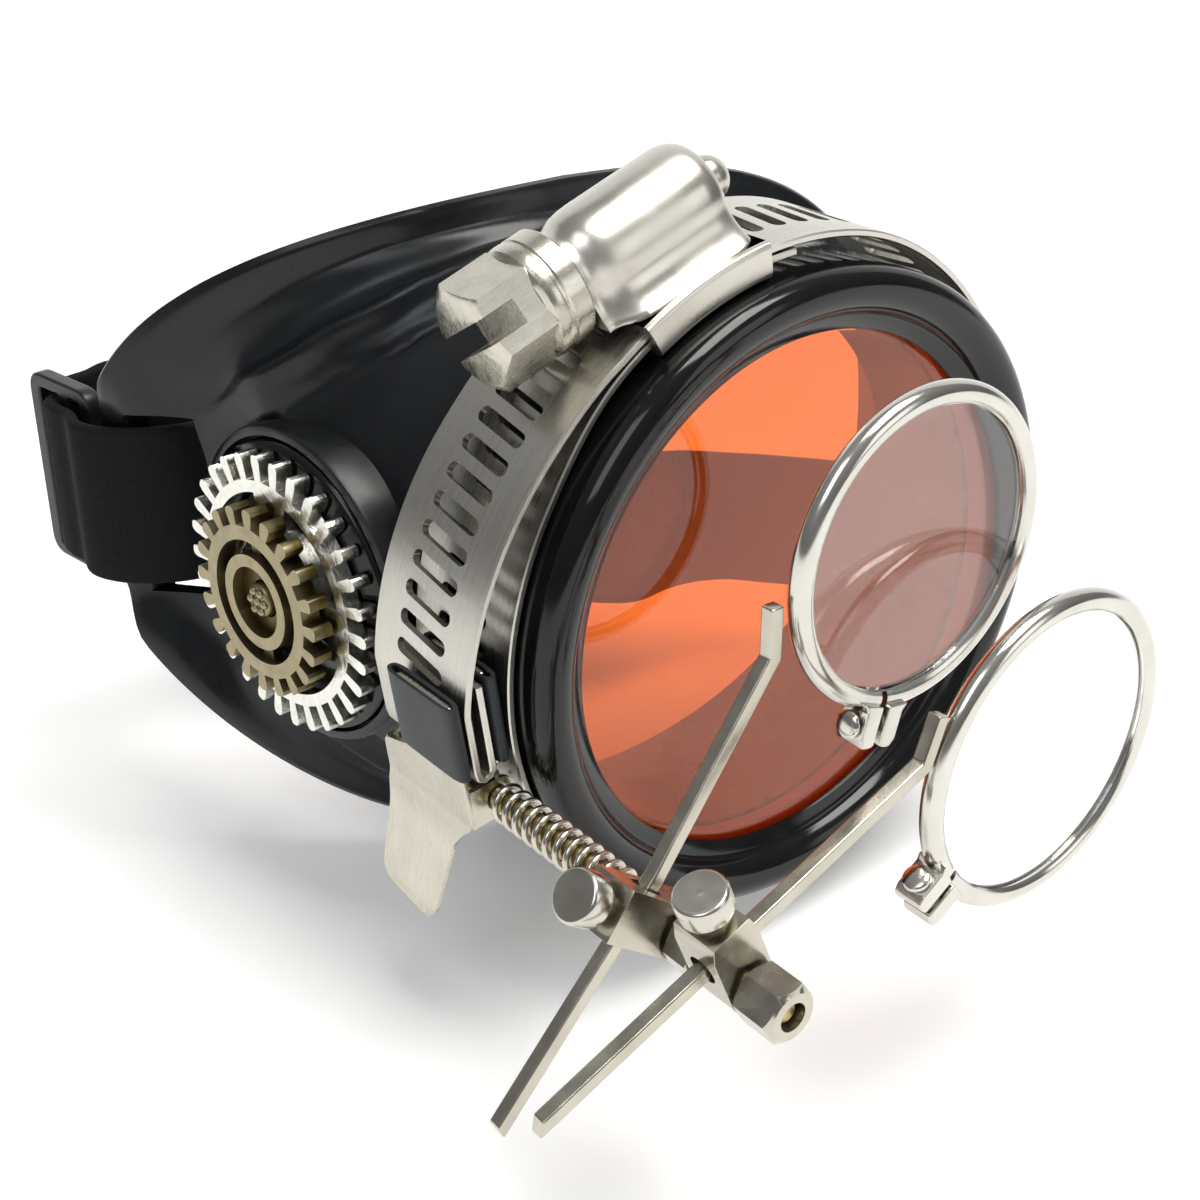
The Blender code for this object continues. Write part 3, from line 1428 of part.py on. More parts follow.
def smooth_route(points, per_span=4):
    """Catmull-Rom points through the route."""
    padded = [points[0] * 2 - points[1]] + points + [points[-1] * 2 - points[-2]]
    out = []
    for a, b, c, d in zip(padded, padded[1:], padded[2:], padded[3:]):
        for k in range(per_span):
            t = k / per_span
            bend = a * 2 - b * 5 + c * 4 - d
            twist = b * 3 - a - c * 3 + d
            out.append((b * 2 + (c - a) * t + bend * t * t + twist * t ** 3) / 2)
    out.append(points[-1])
    return out


strap_points = smooth_route(strap_route)
bm = bmesh.new()
rows = []
for i, point in enumerate(strap_points):
    way = strap_points[min(i + 1, len(strap_points) - 1)] - strap_points[max(i - 1, 0)]
    normal = Vector((-way.y, way.x, 0)).normalized()
    across = normal * math.sin(point.w) + UP * math.cos(point.w)
    through = normal * math.cos(point.w) - UP * math.sin(point.w)
    middle = Vector((point.x, point.y, STRAP_Z + point.z))
    rows.append(
        [
            bm.verts.new(middle + through * (one * STRAP_T / 2) + across * (other * STRAP_W / 2))
            for one, other in ((1, -1), (1, 1), (-1, 1), (-1, -1))
        ]
    )
bm.faces.new(rows[0])
bm.faces.new(rows[-1][::-1])
for one, other in zip(rows, rows[1:]):
    for i in range(4):
        j = (i + 1) % 4
        bm.faces.new((one[i], other[i], other[j], one[j]))
add("strap", mesh_from(bm, "strap"), ELASTIC)

# The slider is a flat plate with three bars; the strap passes over two and under the third
slider_matrix = frame_at(
    Vector((slider_spot.x, slider_spot.y, STRAP_Z)),
    Vector((slider_out.x, slider_out.y, 0)),
    Vector((slider_way.x, slider_way.y, 0)),
)
slider = add(
    "strap_slider",
    prism(
        "strap_slider",
        box_outline(-SLIDER_W / 2, SLIDER_W / 2, -SLIDER_H / 2, SLIDER_H / 2),
        -SLIDER_T / 2,
        SLIDER_T / 2,
        False,
    ),
    PVC,
    slider_matrix,
)
for start, end in (
    (SLIDER_BAR - SLIDER_W / 2, -SLIDER_BAR),
    (0, SLIDER_W / 2 - SLIDER_BAR),
):
    window = add(
        "slider_window",
        prism(
            "slider_window",
            box_outline(start, end, -STRAP_W / 2 - GAP, STRAP_W / 2 + GAP),
            -SLIDER_T,
            SLIDER_T,
            False,
        ),
        None,
        slider_matrix,
    )
    cut(slider, window)
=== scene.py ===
# %% [markdown]
# # A goggle monocle with a clip-on double loupe
# This file builds the picture of the piece in Blender, one small step at a time. The packed
# model comes first: it fixes where every part sits. Each part then gets a finer shape or a
# better finish, and rides on the body that carries it, so that it moves as the real one does.
# All lengths are in metres. The round lens faces -Y, Z is up, and the origin is the centre of
# the lens's front face.

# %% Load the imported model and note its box
import math

import bmesh
import bpy
from mathutils import Matrix, Vector


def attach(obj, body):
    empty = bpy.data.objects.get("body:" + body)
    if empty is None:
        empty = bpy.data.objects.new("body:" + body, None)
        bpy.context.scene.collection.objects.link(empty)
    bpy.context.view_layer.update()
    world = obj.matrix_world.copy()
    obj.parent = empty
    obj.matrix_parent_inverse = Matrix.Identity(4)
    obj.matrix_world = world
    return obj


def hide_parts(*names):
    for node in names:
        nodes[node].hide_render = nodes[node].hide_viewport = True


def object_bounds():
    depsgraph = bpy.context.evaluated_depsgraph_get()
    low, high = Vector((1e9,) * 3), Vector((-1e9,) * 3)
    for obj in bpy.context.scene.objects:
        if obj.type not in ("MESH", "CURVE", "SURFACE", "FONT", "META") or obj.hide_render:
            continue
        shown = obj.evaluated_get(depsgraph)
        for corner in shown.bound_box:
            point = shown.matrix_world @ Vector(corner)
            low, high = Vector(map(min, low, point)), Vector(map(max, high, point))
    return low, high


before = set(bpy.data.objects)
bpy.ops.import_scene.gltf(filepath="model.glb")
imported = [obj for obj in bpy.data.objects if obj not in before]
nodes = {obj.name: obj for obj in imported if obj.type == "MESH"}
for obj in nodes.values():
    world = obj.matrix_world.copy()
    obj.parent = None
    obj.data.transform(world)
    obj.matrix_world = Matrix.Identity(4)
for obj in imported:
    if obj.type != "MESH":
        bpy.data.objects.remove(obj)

cad_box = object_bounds()
TAU = 2 * math.pi
ACROSS = Vector((1, 0, 0))
BACK = Vector((0, 1, 0))
UP = Vector((0, 0, 1))

# %% [markdown]
# ## Camera
# The photograph was taken from the front left and above. A 54 mm lens on a 36 mm sensor gives
# the same strong perspective: the loupe arms in front look larger than the cup behind.

# %% Camera
CAMERA_DIP = math.radians(27.66)
CAMERA_TURN = math.radians(-38.52)
camera = bpy.data.objects.new("camera", bpy.data.cameras.new("camera"))
camera.data.lens = 54
camera.data.clip_start = 0.005
camera.location = (-0.09675, -0.09552, 0.07005)
camera.rotation_euler = (math.radians(90) - CAMERA_DIP, 0, CAMERA_TURN)
bpy.context.scene.collection.objects.link(camera)
bpy.context.scene.camera = camera

# %% [markdown]
# ## A few helpers
# Colours are written as sRGB hex, as a paint chart gives them, and turned to linear once here.
# A single function adds any node with its values and links, which keeps each finish readable.


# %% Colour and node helpers
def linear(code):
    """An sRGB hex colour as the linear colour that shaders work in."""
    channels = [int(code[i : i + 2], 16) / 255 for i in (1, 3, 5)]
    return (*[c / 12.92 if c <= 0.04045 else ((c + 0.055) / 1.055) ** 2.4 for c in channels], 1.0)


def add_node(tree, kind, values=None, links=None, **settings):
    """Adds a node; values and links are keyed by the name or number of its inputs."""
    made = tree.nodes.new(kind)
    for name, value in settings.items():
        setattr(made, name, value)
    for name, value in (values or {}).items():
        made.inputs[name].default_value = value
    for name, source in (links or {}).items():
        tree.links.new(source, made.inputs[name])
    return made


def new_finish(name, **values):
    """A material, its node tree, its shader and the piece's own coordinates in metres."""
    made = bpy.data.materials.new(name)
    made.use_nodes = True
    tree = made.node_tree
    shader = tree.nodes["Principled BSDF"]
    for socket, value in values.items():
        shader.inputs[socket.replace("_", " ")].default_value = value
    place = add_node(tree, "ShaderNodeTexCoord").outputs["Object"]
    return made, tree, shader, place


# %% [markdown]
# ## Floor, backdrop and light
# The photograph is a product shot on a white sweep: a floor that curves up behind the object
# with no corner. Large soft lamps give the broad highlights on the metal and the faint shadow.
# What the camera sees of the sweep is lifted to white by a share of plain emission, and metal
# and glass see the same white, while the floor still catches the shadow.

# %% Sweep
FLOOR_Z = cad_box[0][2]
SWEEP_HALF = 1.6
SWEEP_BACK = 1.1
SWEEP_FRONT = 1.3
SWEEP_BEND = 0.5
SWEEP_TOP = 1.6
BEND_STEPS = 12

sweep_line = [(-SWEEP_FRONT, 0.0), (SWEEP_BACK - SWEEP_BEND, 0.0)]
for step in range(1, BEND_STEPS + 1):
    angle = math.pi / 2 * step / BEND_STEPS
    sweep_line.append(
        (SWEEP_BACK - SWEEP_BEND + SWEEP_BEND * math.sin(angle), SWEEP_BEND * (1 - math.cos(angle)))
    )
sweep_line.append((SWEEP_BACK, SWEEP_TOP))
bm = bmesh.new()
sweep_rows = [
    [bm.verts.new((side * SWEEP_HALF, along, up)) for side in (-1, 1)] for along, up in sweep_line
]
for near, far in zip(sweep_rows, sweep_rows[1:]):
    bm.faces.new((near[0], near[1], far[1], far[0]))
sweep_mesh = bpy.data.meshes.new("sweep")
bm.to_mesh(sweep_mesh)
bm.free()
sweep_mesh.shade_smooth()
sweep = bpy.data.objects.new("sweep", sweep_mesh)
sweep.location = (0, 0, FLOOR_Z)
sweep.rotation_euler = (0, 0, CAMERA_TURN)
bpy.context.scene.collection.objects.link(sweep)

# %% Sweep paper
SWEEP_LIFT = 0.20
SWEEP_LIFT_FAR = 0.60
LIFT_NEAR = 0.2
LIFT_FAR = 0.8
paper, tree, shader, place = new_finish("matt_white_paper", Base_Color=linear("#f4f4f4"), Roughness=0.95)
fibres = add_node(tree, "ShaderNodeTexNoise", {"Scale": 400.0}, {"Vector": place})
paper_bump = add_node(
    tree, "ShaderNodeBump", {"Strength": 0.1, "Distance": 0.0001}, {"Height": fibres.outputs[0]}
)
tree.links.new(paper_bump.outputs[0], shader.inputs["Normal"])
shader.inputs["Emission Color"].default_value = linear("#ffffff")
rays = add_node(tree, "ShaderNodeLightPath")
seen = rays.outputs["Is Camera Ray"]
for kind in ("Is Glossy Ray", "Is Transmission Ray"):
    both = {0: seen, 1: rays.outputs[kind]}
    seen = add_node(tree, "ShaderNodeMath", links=both, operation="MAXIMUM").outputs[0]
# Further from the lamp the paper dims, so the lift grows with the distance from the object
reach = add_node(tree, "ShaderNodeVectorMath", links={0: place}, operation="LENGTH")
share = add_node(
    tree, "ShaderNodeMapRange",
    {"From Min": LIFT_NEAR, "From Max": LIFT_FAR, "To Min": SWEEP_LIFT, "To Max": SWEEP_LIFT_FAR},
    {"Value": reach.outputs["Value"]},
)
lift = add_node(tree, "ShaderNodeMath", links={0: seen, 1: share.outputs[0]}, operation="MULTIPLY")
tree.links.new(lift.outputs[0], shader.inputs["Emission Strength"])
sweep.data.materials.append(paper)


# %% Soft lamps: a large one high in front, a cool fill from the left and a low one in front
def soft_lamp(name, place, aim, width, height, watts, colour):
    lamp = bpy.data.lights.new(name, "AREA")
    lamp.shape = "RECTANGLE"
    lamp.size = width
    lamp.size_y = height
    lamp.energy = watts
    lamp.color = linear(colour)[:3]
    holder = bpy.data.objects.new(name, lamp)
    holder.location = place
    holder.rotation_euler = (Vector(aim) - Vector(place)).to_track_quat("-Z", "Y").to_euler()
    bpy.context.scene.collection.objects.link(holder)
    return holder


soft_lamp("key_light", (0.10, -0.16, 0.76), (0, 0.02, 0), 0.45, 0.45, 6.0, "#fffdf8")
soft_lamp("fill_light", (-0.55, -0.15, 0.60), (0, 0, 0), 0.4, 0.4, 1.3, "#f6f9ff")
soft_lamp("front_light", (0.30, -0.75, 0.30), (0, 0, 0), 0.35, 0.45, 0.7, "#ffffff")

world = bpy.data.worlds.new("studio")
world.use_nodes = True
bpy.context.scene.world = world
tree = world.node_tree
surround = tree.nodes["Background"]
surround.inputs["Color"].default_value = linear("#ffffff")
rays = add_node(tree, "ShaderNodeLightPath")
direction = add_node(tree, "ShaderNodeTexCoord").outputs["Generated"]
height = add_node(tree, "ShaderNodeSeparateXYZ", links={0: direction}).outputs["Z"]
room = add_node(
    tree, "ShaderNodeMapRange",
    {"From Min": -0.1, "From Max": 0.8, "To Min": 0.12, "To Max": 0.34}, {"Value": height},
)
strength = add_node(
    tree, "ShaderNodeMix", {3: 1.0}, {0: rays.outputs["Is Camera Ray"], 2: room.outputs[0]},
    data_type="FLOAT",
)
tree.links.new(strength.outputs[0], surround.inputs["Strength"])
bpy.context.scene.view_settings.view_transform = "Standard"
print("floor at", round(FLOOR_Z * 1000, 2), "mm")

# %% [markdown]
# ## How a finish is put together
# Nearly every real surface varies a little in colour, in gloss and in height. One function
# lays these three over a shader, each from a cloudy pattern whose scale is in cells per metre:
# 1000 gives spots a millimetre across.


# %% Patterns and surfaces
def cloudy(tree, place, scale, detail=2.0, distortion=0.0):
    """Soft noise between 0 and 1."""
    values = {"Scale": scale, "Detail": detail, "Distortion": distortion}
    return add_node(tree, "ShaderNodeTexNoise", values, {"Vector": place}).outputs[0]


def tinted(tree, low, high, pattern):
    """A colour that wanders between two hex colours with a pattern."""
    mixed = add_node(
        tree, "ShaderNodeMix", {6: linear(low), 7: linear(high)}, {0: pattern}, data_type="RGBA"
    )
    return mixed.outputs[2]


def surface(tree, shader, tone=None, gloss=None, bump=None):
    """Lays colour, roughness and relief over a shader.

    tone is (low colour, high colour, pattern); gloss is (low, high, pattern) and, if only a part
    of the pattern counts, that part's start and end; bump is (strength, metres, pattern).
    """
    if tone:
        tree.links.new(tinted(tree, *tone), shader.inputs["Base Color"])
    if gloss:
        low, high, pattern, start, end = (*gloss, 0.0, 1.0)[:5]
        values = {"From Min": start, "From Max": end, "To Min": low, "To Max": high}
        rough = add_node(tree, "ShaderNodeMapRange", values, {"Value": pattern})
        tree.links.new(rough.outputs[0], shader.inputs["Roughness"])
    if bump:
        strength, distance, pattern = bump
        values = {"Strength": strength, "Distance": distance}
        relief_node = add_node(tree, "ShaderNodeBump", values, {"Height": pattern})
        tree.links.new(relief_node.outputs[0], shader.inputs["Normal"])


def stretched(tree, place, scale, rotation):
    """The piece's coordinates, squeezed and turned, so that a pattern becomes streaks."""
    values = {"Scale": scale, "Rotation": rotation}
    return add_node(tree, "ShaderNodeMapping", values, {"Vector": place}).outputs[0]


# %% [markdown]
# ## Black vinyl of the cup
# The eye cup is soft PVC, moulded black. New vinyl has a tight skin: it reads as deep charcoal
# with broad, fairly sharp highlights, a hint of a waxy bloom and a very fine orange-peel.

# %% Moulded vinyl
vinyl, tree, shader, place = new_finish("moulded_black_vinyl", IOR=1.53, Specular_IOR_Level=0.32)
surface(
    tree, shader,
    tone=("#0b0d0f", "#14171a", cloudy(tree, place, 90, 4)),
    gloss=(0.22, 0.36, cloudy(tree, place, 260, 5), 0.3, 0.7),
    bump=(0.35, 0.00002, cloudy(tree, place, 1100)),
)

# %% [markdown]
# ## Polished black ring
# The screw ring is a hard plastic such as ABS, polished in its mould. It is the blackest and
# glossiest part, so it shows as a black shape drawn by thin white reflections. Faint wipe marks
# break up the gloss, and a slow waviness of the moulding bends the reflections.

# %% Polished ABS
ring_abs, tree, shader, place = new_finish("polished_black_abs", IOR=1.52, Specular_IOR_Level=0.38)
wiped = cloudy(tree, place, 180, 6, 0.6)
surface(
    tree, shader,
    tone=("#060607", "#0f1012", wiped),
    gloss=(0.09, 0.20, wiped, 0.35, 0.75),
    bump=(0.2, 0.0001, cloudy(tree, place, 60, 1)),
)

# %% [markdown]
# ## Orange lens and its seat
# The lens is a disc of dyed polycarbonate. Light that passes through comes out orange, so the
# white table seen through it glows and the black cup behind it turns brown. A few hairlines
# soften it. It sits on a seat of pale silicone, which shows as a thin bright edge.

# %% Dyed polycarbonate and pale silicone
lens_orange, tree, shader, place = new_finish(
    "dyed_polycarbonate", IOR=1.58, Transmission_Weight=0.86, Specular_IOR_Level=0.12
)
surface(
    tree, shader,
    tone=("#ff762f", "#ff7e38", cloudy(tree, place, 40)),
    gloss=(0.0, 0.05, cloudy(tree, place, 900, 3), 0.5, 0.9),
)

seat_silicone, tree, shader, place = new_finish("pale_silicone", IOR=1.41, Roughness=0.5)
milky = cloudy(tree, place, 500, 3)
surface(tree, shader, tone=("#e9e4da", "#f6f2ea", milky), bump=(0.3, 0.00005, milky))

# %% [markdown]
# ## Stainless strip of the clamp
# Hose-clamp band is cold-rolled stainless strip. The rolls leave lines along its length, too
# fine to see one by one, which spread the highlights into an even satin. The lines are drawn
# 0.12 mm apart, coarser than the real ones, so that they still show.

# %% Rolled stainless strip
ROLL_LINES = 1 / 0.00012
ROLL_STREAKS = 90.0
strip_steel, tree, shader, place = new_finish("rolled_stainless_strip", Metallic=1.0)
parts = add_node(tree, "ShaderNodeSeparateXYZ", links={0: place})
across = add_node(tree, "ShaderNodeMath", {1: ROLL_LINES}, {0: parts.outputs["Y"]}, operation="MULTIPLY")
along = add_node(tree, "ShaderNodeMath", {1: ROLL_STREAKS}, {0: parts.outputs["Z"]}, operation="MULTIPLY")
rolled = add_node(tree, "ShaderNodeCombineXYZ", links={"X": across.outputs[0], "Y": along.outputs[0]})
lines = cloudy(tree, rolled.outputs[0], 1, 3)
surface(
    tree, shader,
    tone=("#bdbab2", "#d3d0c9", cloudy(tree, place, 160, 5)),
    gloss=(0.24, 0.36, lines, 0.3, 0.7),
    bump=(0.25, 0.00001, lines),
)

# %% [markdown]
# ## Pressed and machined steel
# The clamp's housing is pressed from sheet and tumbled, which leaves a soft, grainy satin with
# rounded light. The screw is turned and milled from bar: brighter, with cutting marks on its
# faces. Both are zinc or nickel plated, a slightly warm grey.

# %% Tumbled steel
pressed_steel, tree, shader, place = new_finish("tumbled_pressed_steel", Metallic=1.0)
cloud = cloudy(tree, place, 220, 4)
surface(
    tree, shader,
    tone=("#c4c0b6", "#dcd9d1", cloud),
    gloss=(0.24, 0.38, cloud, 0.3, 0.7),
    bump=(0.35, 0.00001, cloudy(tree, place, 2600, 3)),
)

# %% Machined steel
cut_steel, tree, shader, place = new_finish("machined_plated_steel", Metallic=1.0)
marks = cloudy(tree, stretched(tree, place, (1.0, 7.0, 1.0), (0.4, 0.5, 0.2)), 900, 5)
surface(
    tree, shader,
    tone=("#b9b4a6", "#dad7cd", cloudy(tree, place, 500, 4)),
    gloss=(0.20, 0.34, marks, 0.2, 0.8),
    bump=(0.3, 0.00001, marks),
)

# %% [markdown]
# ## Nickel plate
# The clip, the arms and the little blocks are nickel over brass or steel. Nickel is warmer than
# chrome. On the clip it is worn dull with fine scratches; on the arms and blocks it is satin;
# the rims and thumb screws are polished bright.

# %% Worn nickel of the clip
clip_nickel, tree, shader, place = new_finish("worn_nickel_plate", Metallic=1.0)
scratches = cloudy(tree, stretched(tree, place, (1.0, 9.0, 0.6), (0.5, 0.2, 0.3)), 700, 4)
surface(
    tree, shader,
    tone=("#b7b1a2", "#d8d4c8", cloudy(tree, place, 240, 6)),
    gloss=(0.20, 0.36, scratches, 0.35, 0.7),
    bump=(0.25, 0.00001, scratches),
)

# %% Satin, polished and turned nickel
satin_nickel, tree, shader, place = new_finish("satin_nickel_plate", Metallic=1.0)
cloud = cloudy(tree, place, 420, 5)
surface(
    tree, shader,
    tone=("#a9a496", "#cfcbbf", cloud),
    gloss=(0.17, 0.30, cloud, 0.3, 0.7),
    bump=(0.25, 0.00001, cloudy(tree, place, 3000)),
)

bright_nickel, tree, shader, place = new_finish("polished_nickel_plate", Metallic=1.0)
cloud = cloudy(tree, place, 300, 4)
surface(tree, shader, tone=("#c3c0b8", "#dedcd6", cloud), gloss=(0.12, 0.22, cloud, 0.3, 0.7))

turned_nickel, tree, shader, place = new_finish("turned_nickel_plate", Metallic=1.0)
cloud = cloudy(tree, place, 500, 5)
surface(tree, shader, tone=("#b9b5aa", "#d6d3ca", cloud), gloss=(0.16, 0.28, cloud, 0.3, 0.7))

# %% [markdown]
# ## Brass shaft and spring wire
# The shaft is brass whose thin plating has worn away, so it reads as dull yellow-grey. The
# springs are bright drawn wire.

# %% Worn brass and spring wire
shaft_brass, tree, shader, place = new_finish("worn_plated_brass", Metallic=1.0)
wear = cloudy(tree, place, 600, 5)
surface(tree, shader, tone=("#a8914f", "#b9b39c", wear), gloss=(0.22, 0.38, wear))

spring_wire, tree, shader, place = new_finish("drawn_spring_wire", Metallic=1.0)
draw = cloudy(tree, place, 1500, 3)
surface(tree, shader, tone=("#b4afa2", "#d9d6cd", draw), gloss=(0.16, 0.28, draw))

# %% [markdown]
# ## Loupe glass
# The two loupes are clear polished glass with a thin coating that keeps reflections down. At
# this size they should show only their edges, a soft reflection and what lies behind them.

# %% Clear loupe glass
loupe_glass, tree, shader, place = new_finish(
    "clear_optical_glass", IOR=1.52, Transmission_Weight=1.0, Specular_IOR_Level=0.3
)
film = cloudy(tree, place, 120, 3)
surface(tree, shader, tone=("#fbfcfc", "#ffffff", film), gloss=(0.0, 0.02, film))

# %% [markdown]
# ## Silver plate
# The large gear is cast and silver plated over a wrinkled surface, so it flashes white with
# dark crinkles. The finish of the small one comes with its shape below.

# %% Crinkled silver plate
silver_plate, tree, shader, place = new_finish("crinkled_silver_plate", Metallic=1.0)
crease = cloudy(tree, place, 750, 6, 1.5)
surface(
    tree, shader,
    tone=("#c9c8bd", "#fdfdf8", crease),
    gloss=(0.12, 0.34, crease),
    bump=(0.6, 0.00008, crease),
)

# %% [markdown]
# ## Shrink sleeves, strap and slider
# The clip's jaws wear heat-shrink tube: matt charcoal polyolefin. The strap is woven elastic; its
# rubber threads and polyester weft make fine ribs along the length and a tiny basket weave between
# them. The slider is plain moulded nylon.

# %% Heat-shrink sleeve
shrink_tube, tree, shader, place = new_finish("heat_shrink_polyolefin", IOR=1.5, Specular_IOR_Level=0.35)
cloud = cloudy(tree, place, 300, 4)
surface(
    tree, shader, tone=("#202326", "#2d3034", cloud), gloss=(0.34, 0.5, cloud), bump=(0.4, 0.00005, cloud)
)

# %% Woven elastic: ribs along the strap and picks across it, on its own map in metres
WEAVE = 0.00045
RIB_WAVES = 1 / WEAVE / 6.5
PICK_WAVES = 1 / WEAVE / 4
woven_elastic, tree, shader, place = new_finish(
    "woven_black_elastic", Roughness=0.85, Specular_IOR_Level=0.25
)
laid = add_node(tree, "ShaderNodeUVMap", uv_map="weave").outputs[0]
ribs, picks = (
    add_node(
        tree, "ShaderNodeTexWave", {"Scale": waves}, {"Vector": laid}, wave_type="BANDS",
        bands_direction=way,
    )
    for waves, way in ((RIB_WAVES, "Y"), (PICK_WAVES, "X"))
)
cloth = add_node(
    tree, "ShaderNodeMath", links={0: ribs.outputs["Fac"], 1: picks.outputs["Fac"]}, operation="MULTIPLY"
).outputs[0]
surface(tree, shader, tone=("#0a0b0d", "#101216", cloth), bump=(0.25, 0.00004, cloth))

# %% Moulded nylon
black_nylon, tree, shader, place = new_finish("moulded_black_nylon", IOR=1.53, Specular_IOR_Level=0.4)
cloud = cloudy(tree, place, 350, 4)
surface(tree, shader, tone=("#0f1113", "#1b1d20", cloud), gloss=(0.26, 0.42, cloud))


# %% [markdown]
# ## Shaping helpers
# Most parts are either turned, like work on a lathe, or cut from a flat outline and extruded.
# Two helpers do that. Others take material away or add it, as a drill or solder would, and
# break every sharp edge by a tenth of a millimetre or so, because real edges catch the light.


# %% Turned, extruded and swept shapes
def mesh_from(bm, name, sharp=50):
    bmesh.ops.remove_doubles(bm, verts=bm.verts, dist=1e-7)
    bmesh.ops.recalc_face_normals(bm, faces=bm.faces)
    mesh = bpy.data.meshes.new(name)
    bm.to_mesh(mesh)
    bm.free()
    mesh.shade_smooth()
    mesh.set_sharp_from_angle(angle=math.radians(sharp))
    return mesh


def prism(name, outline, low, high):
    """An outline of (x, y) points extruded from z = low to z = high."""
    bm = bmesh.new()
    face = bm.faces.new([bm.verts.new((x, y, low)) for x, y in outline])
    grown = bmesh.ops.extrude_face_region(bm, geom=[face])
    top = [item for item in grown["geom"] if isinstance(item, bmesh.types.BMVert)]
    bmesh.ops.translate(bm, verts=top, vec=Vector((0, 0, high - low)))
    return mesh_from(bm, name)


def turned(name, profile, sides, closed=False):
    """A profile of (radius, z) points spun about Z; a closed profile makes a ring."""
    bm = bmesh.new()
    verts = [bm.verts.new((radius, 0, z)) for radius, z in profile]
    pairs = list(zip(verts, verts[1:]))
    if closed:
        pairs.append((verts[-1], verts[0]))
    edges = [bm.edges.new(pair) for pair in pairs]
    bmesh.ops.spin(
        bm, geom=verts + edges, cent=(0, 0, 0), axis=UP, angle=TAU, steps=sides, use_merge=True
    )
    return mesh_from(bm, name)


def skin(bm, rows, closed=False):
    """Faces between rows of points; open rows get a cap at each end."""
    for one, other in zip(rows, rows[1:] + rows[:1] if closed else rows[1:]):
        for k in range(len(one)):
            n = (k + 1) % len(one)
            bm.faces.new((one[k], other[k], other[n], one[n]))
    if not closed:
        bm.faces.new(rows[0])
        bm.faces.new(rows[-1][::-1])


def wire(name, points, radius, sides=12):
    """Round wire through the points, with closed ends."""
    bm = bmesh.new()
    rings = []
    side = None
    for i, point in enumerate(points):
        way = (points[min(i + 1, len(points) - 1)] - points[max(i - 1, 0)]).normalized()
        side = (side - way * side.dot(way)).normalized() if side else way.orthogonal().normalized()
        other = way.cross(side)
        turns = [TAU * k / sides for k in range(sides)]
        rings.append(
            [bm.verts.new(point + (side * math.cos(t) + other * math.sin(t)) * radius) for t in turns]
        )
    skin(bm, rings)
    return mesh_from(bm, name)


def polar(radius, angle, x=0.0, y=0.0):
    """The point at an angle and a distance from (x, y)."""
    return x + radius * math.cos(angle), y + radius * math.sin(angle)


def circle(radius, sides, start=0.0, turn=TAU):
    """Points round a circle; a full turn leaves out the repeated last point."""
    steps = sides if turn == TAU else sides - 1
    return [polar(radius, start + turn * k / steps) for k in range(sides)]


def rectangle(low_x, high_x, low_y, high_y):
    return [(low_x, low_y), (high_x, low_y), (high_x, high_y), (low_x, high_y)]


def frame_at(origin, z_axis, x_axis):
    """A matrix with local Z and X along the given directions."""
    z_axis = z_axis.normalized()
    x_axis = (x_axis - z_axis * x_axis.dot(z_axis)).normalized()
    turn = Matrix((x_axis, z_axis.cross(x_axis), z_axis)).transposed().to_4x4()
    return Matrix.Translation(origin) @ turn


# %% Cutting, joining and easing edges
def stand(name, mesh, matrix=None):
    """Puts a mesh in the scene, with its place baked into it."""
    if matrix is not None:
        mesh.transform(matrix)
    made = bpy.data.objects.new(name, mesh)
    bpy.context.scene.collection.objects.link(made)
    return made


def extruded(name, outline, low, high, matrix=None):
    flat_cut = prism(name, outline, low, high)
    return stand(name, flat_cut, matrix)


def lathed(name, profile, sides, matrix=None, closed=False):
    spun = turned(name, profile, sides, closed)
    return stand(name, spun, matrix)


def settle(piece):
    """Bakes a piece's modifiers into its mesh."""
    bpy.context.view_layer.update()
    seen_now = piece.evaluated_get(bpy.context.evaluated_depsgraph_get())
    baked = bpy.data.meshes.new_from_object(seen_now)
    piece.modifiers.clear()
    piece.data = baked
    return piece


def work(piece, operation, *tools):
    """Joins tools to a piece or cuts them from it; each tool is an object and is used up."""
    for tool in tools:
        step = piece.modifiers.new("work", "BOOLEAN")
        step.operation = operation
        step.solver = "EXACT"
        step.object = tool
        settle(piece)
        bpy.data.objects.remove(tool)
    return piece


def ease_edges(piece, width, segments=2, from_angle=30):
    """Rounds edges sharper than the angle and keeps the faces between them flat."""
    rounding = piece.modifiers.new("eased", "BEVEL")
    rounding.width = width
    rounding.segments = segments
    rounding.limit_method = "ANGLE"
    rounding.angle_limit = math.radians(from_angle)
    settle(piece)
    piece.data.shade_smooth()
    piece.data.set_sharp_from_angle(angle=math.radians(50))
    flat = piece.modifiers.new("flat", "WEIGHTED_NORMAL")
    flat.keep_sharp = True
    return settle(piece)


def dress(piece, finish, body, slot, *stands_for):
    """Gives a piece its finish and its body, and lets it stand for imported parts."""
    piece.data.materials.clear()
    piece.data.materials.append(finish)
    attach(piece, body)
    if stands_for:
        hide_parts(*stands_for)
    print(piece.name, len(piece.data.polygons), "faces")
    return piece


def smooth_step(value):
    value = min(1.0, max(0.0, value))
    return value * value * (3 - 2 * value)


# %% [markdown]
# ## Eye cup
# The cup is one moulding: a round neck in front, a wall that flares to fit the face, short at
# the nose and long at the temple, and a rolled lip. A raised fold runs round the wall with a
# crease in front of it and a shallow valley behind it. It is lofted: rings of points are
# laid at shares of the way from the neck to the rear edge, each pushed out or in by the relief
# there, which follows the fold much more closely than boxes and cylinders could.

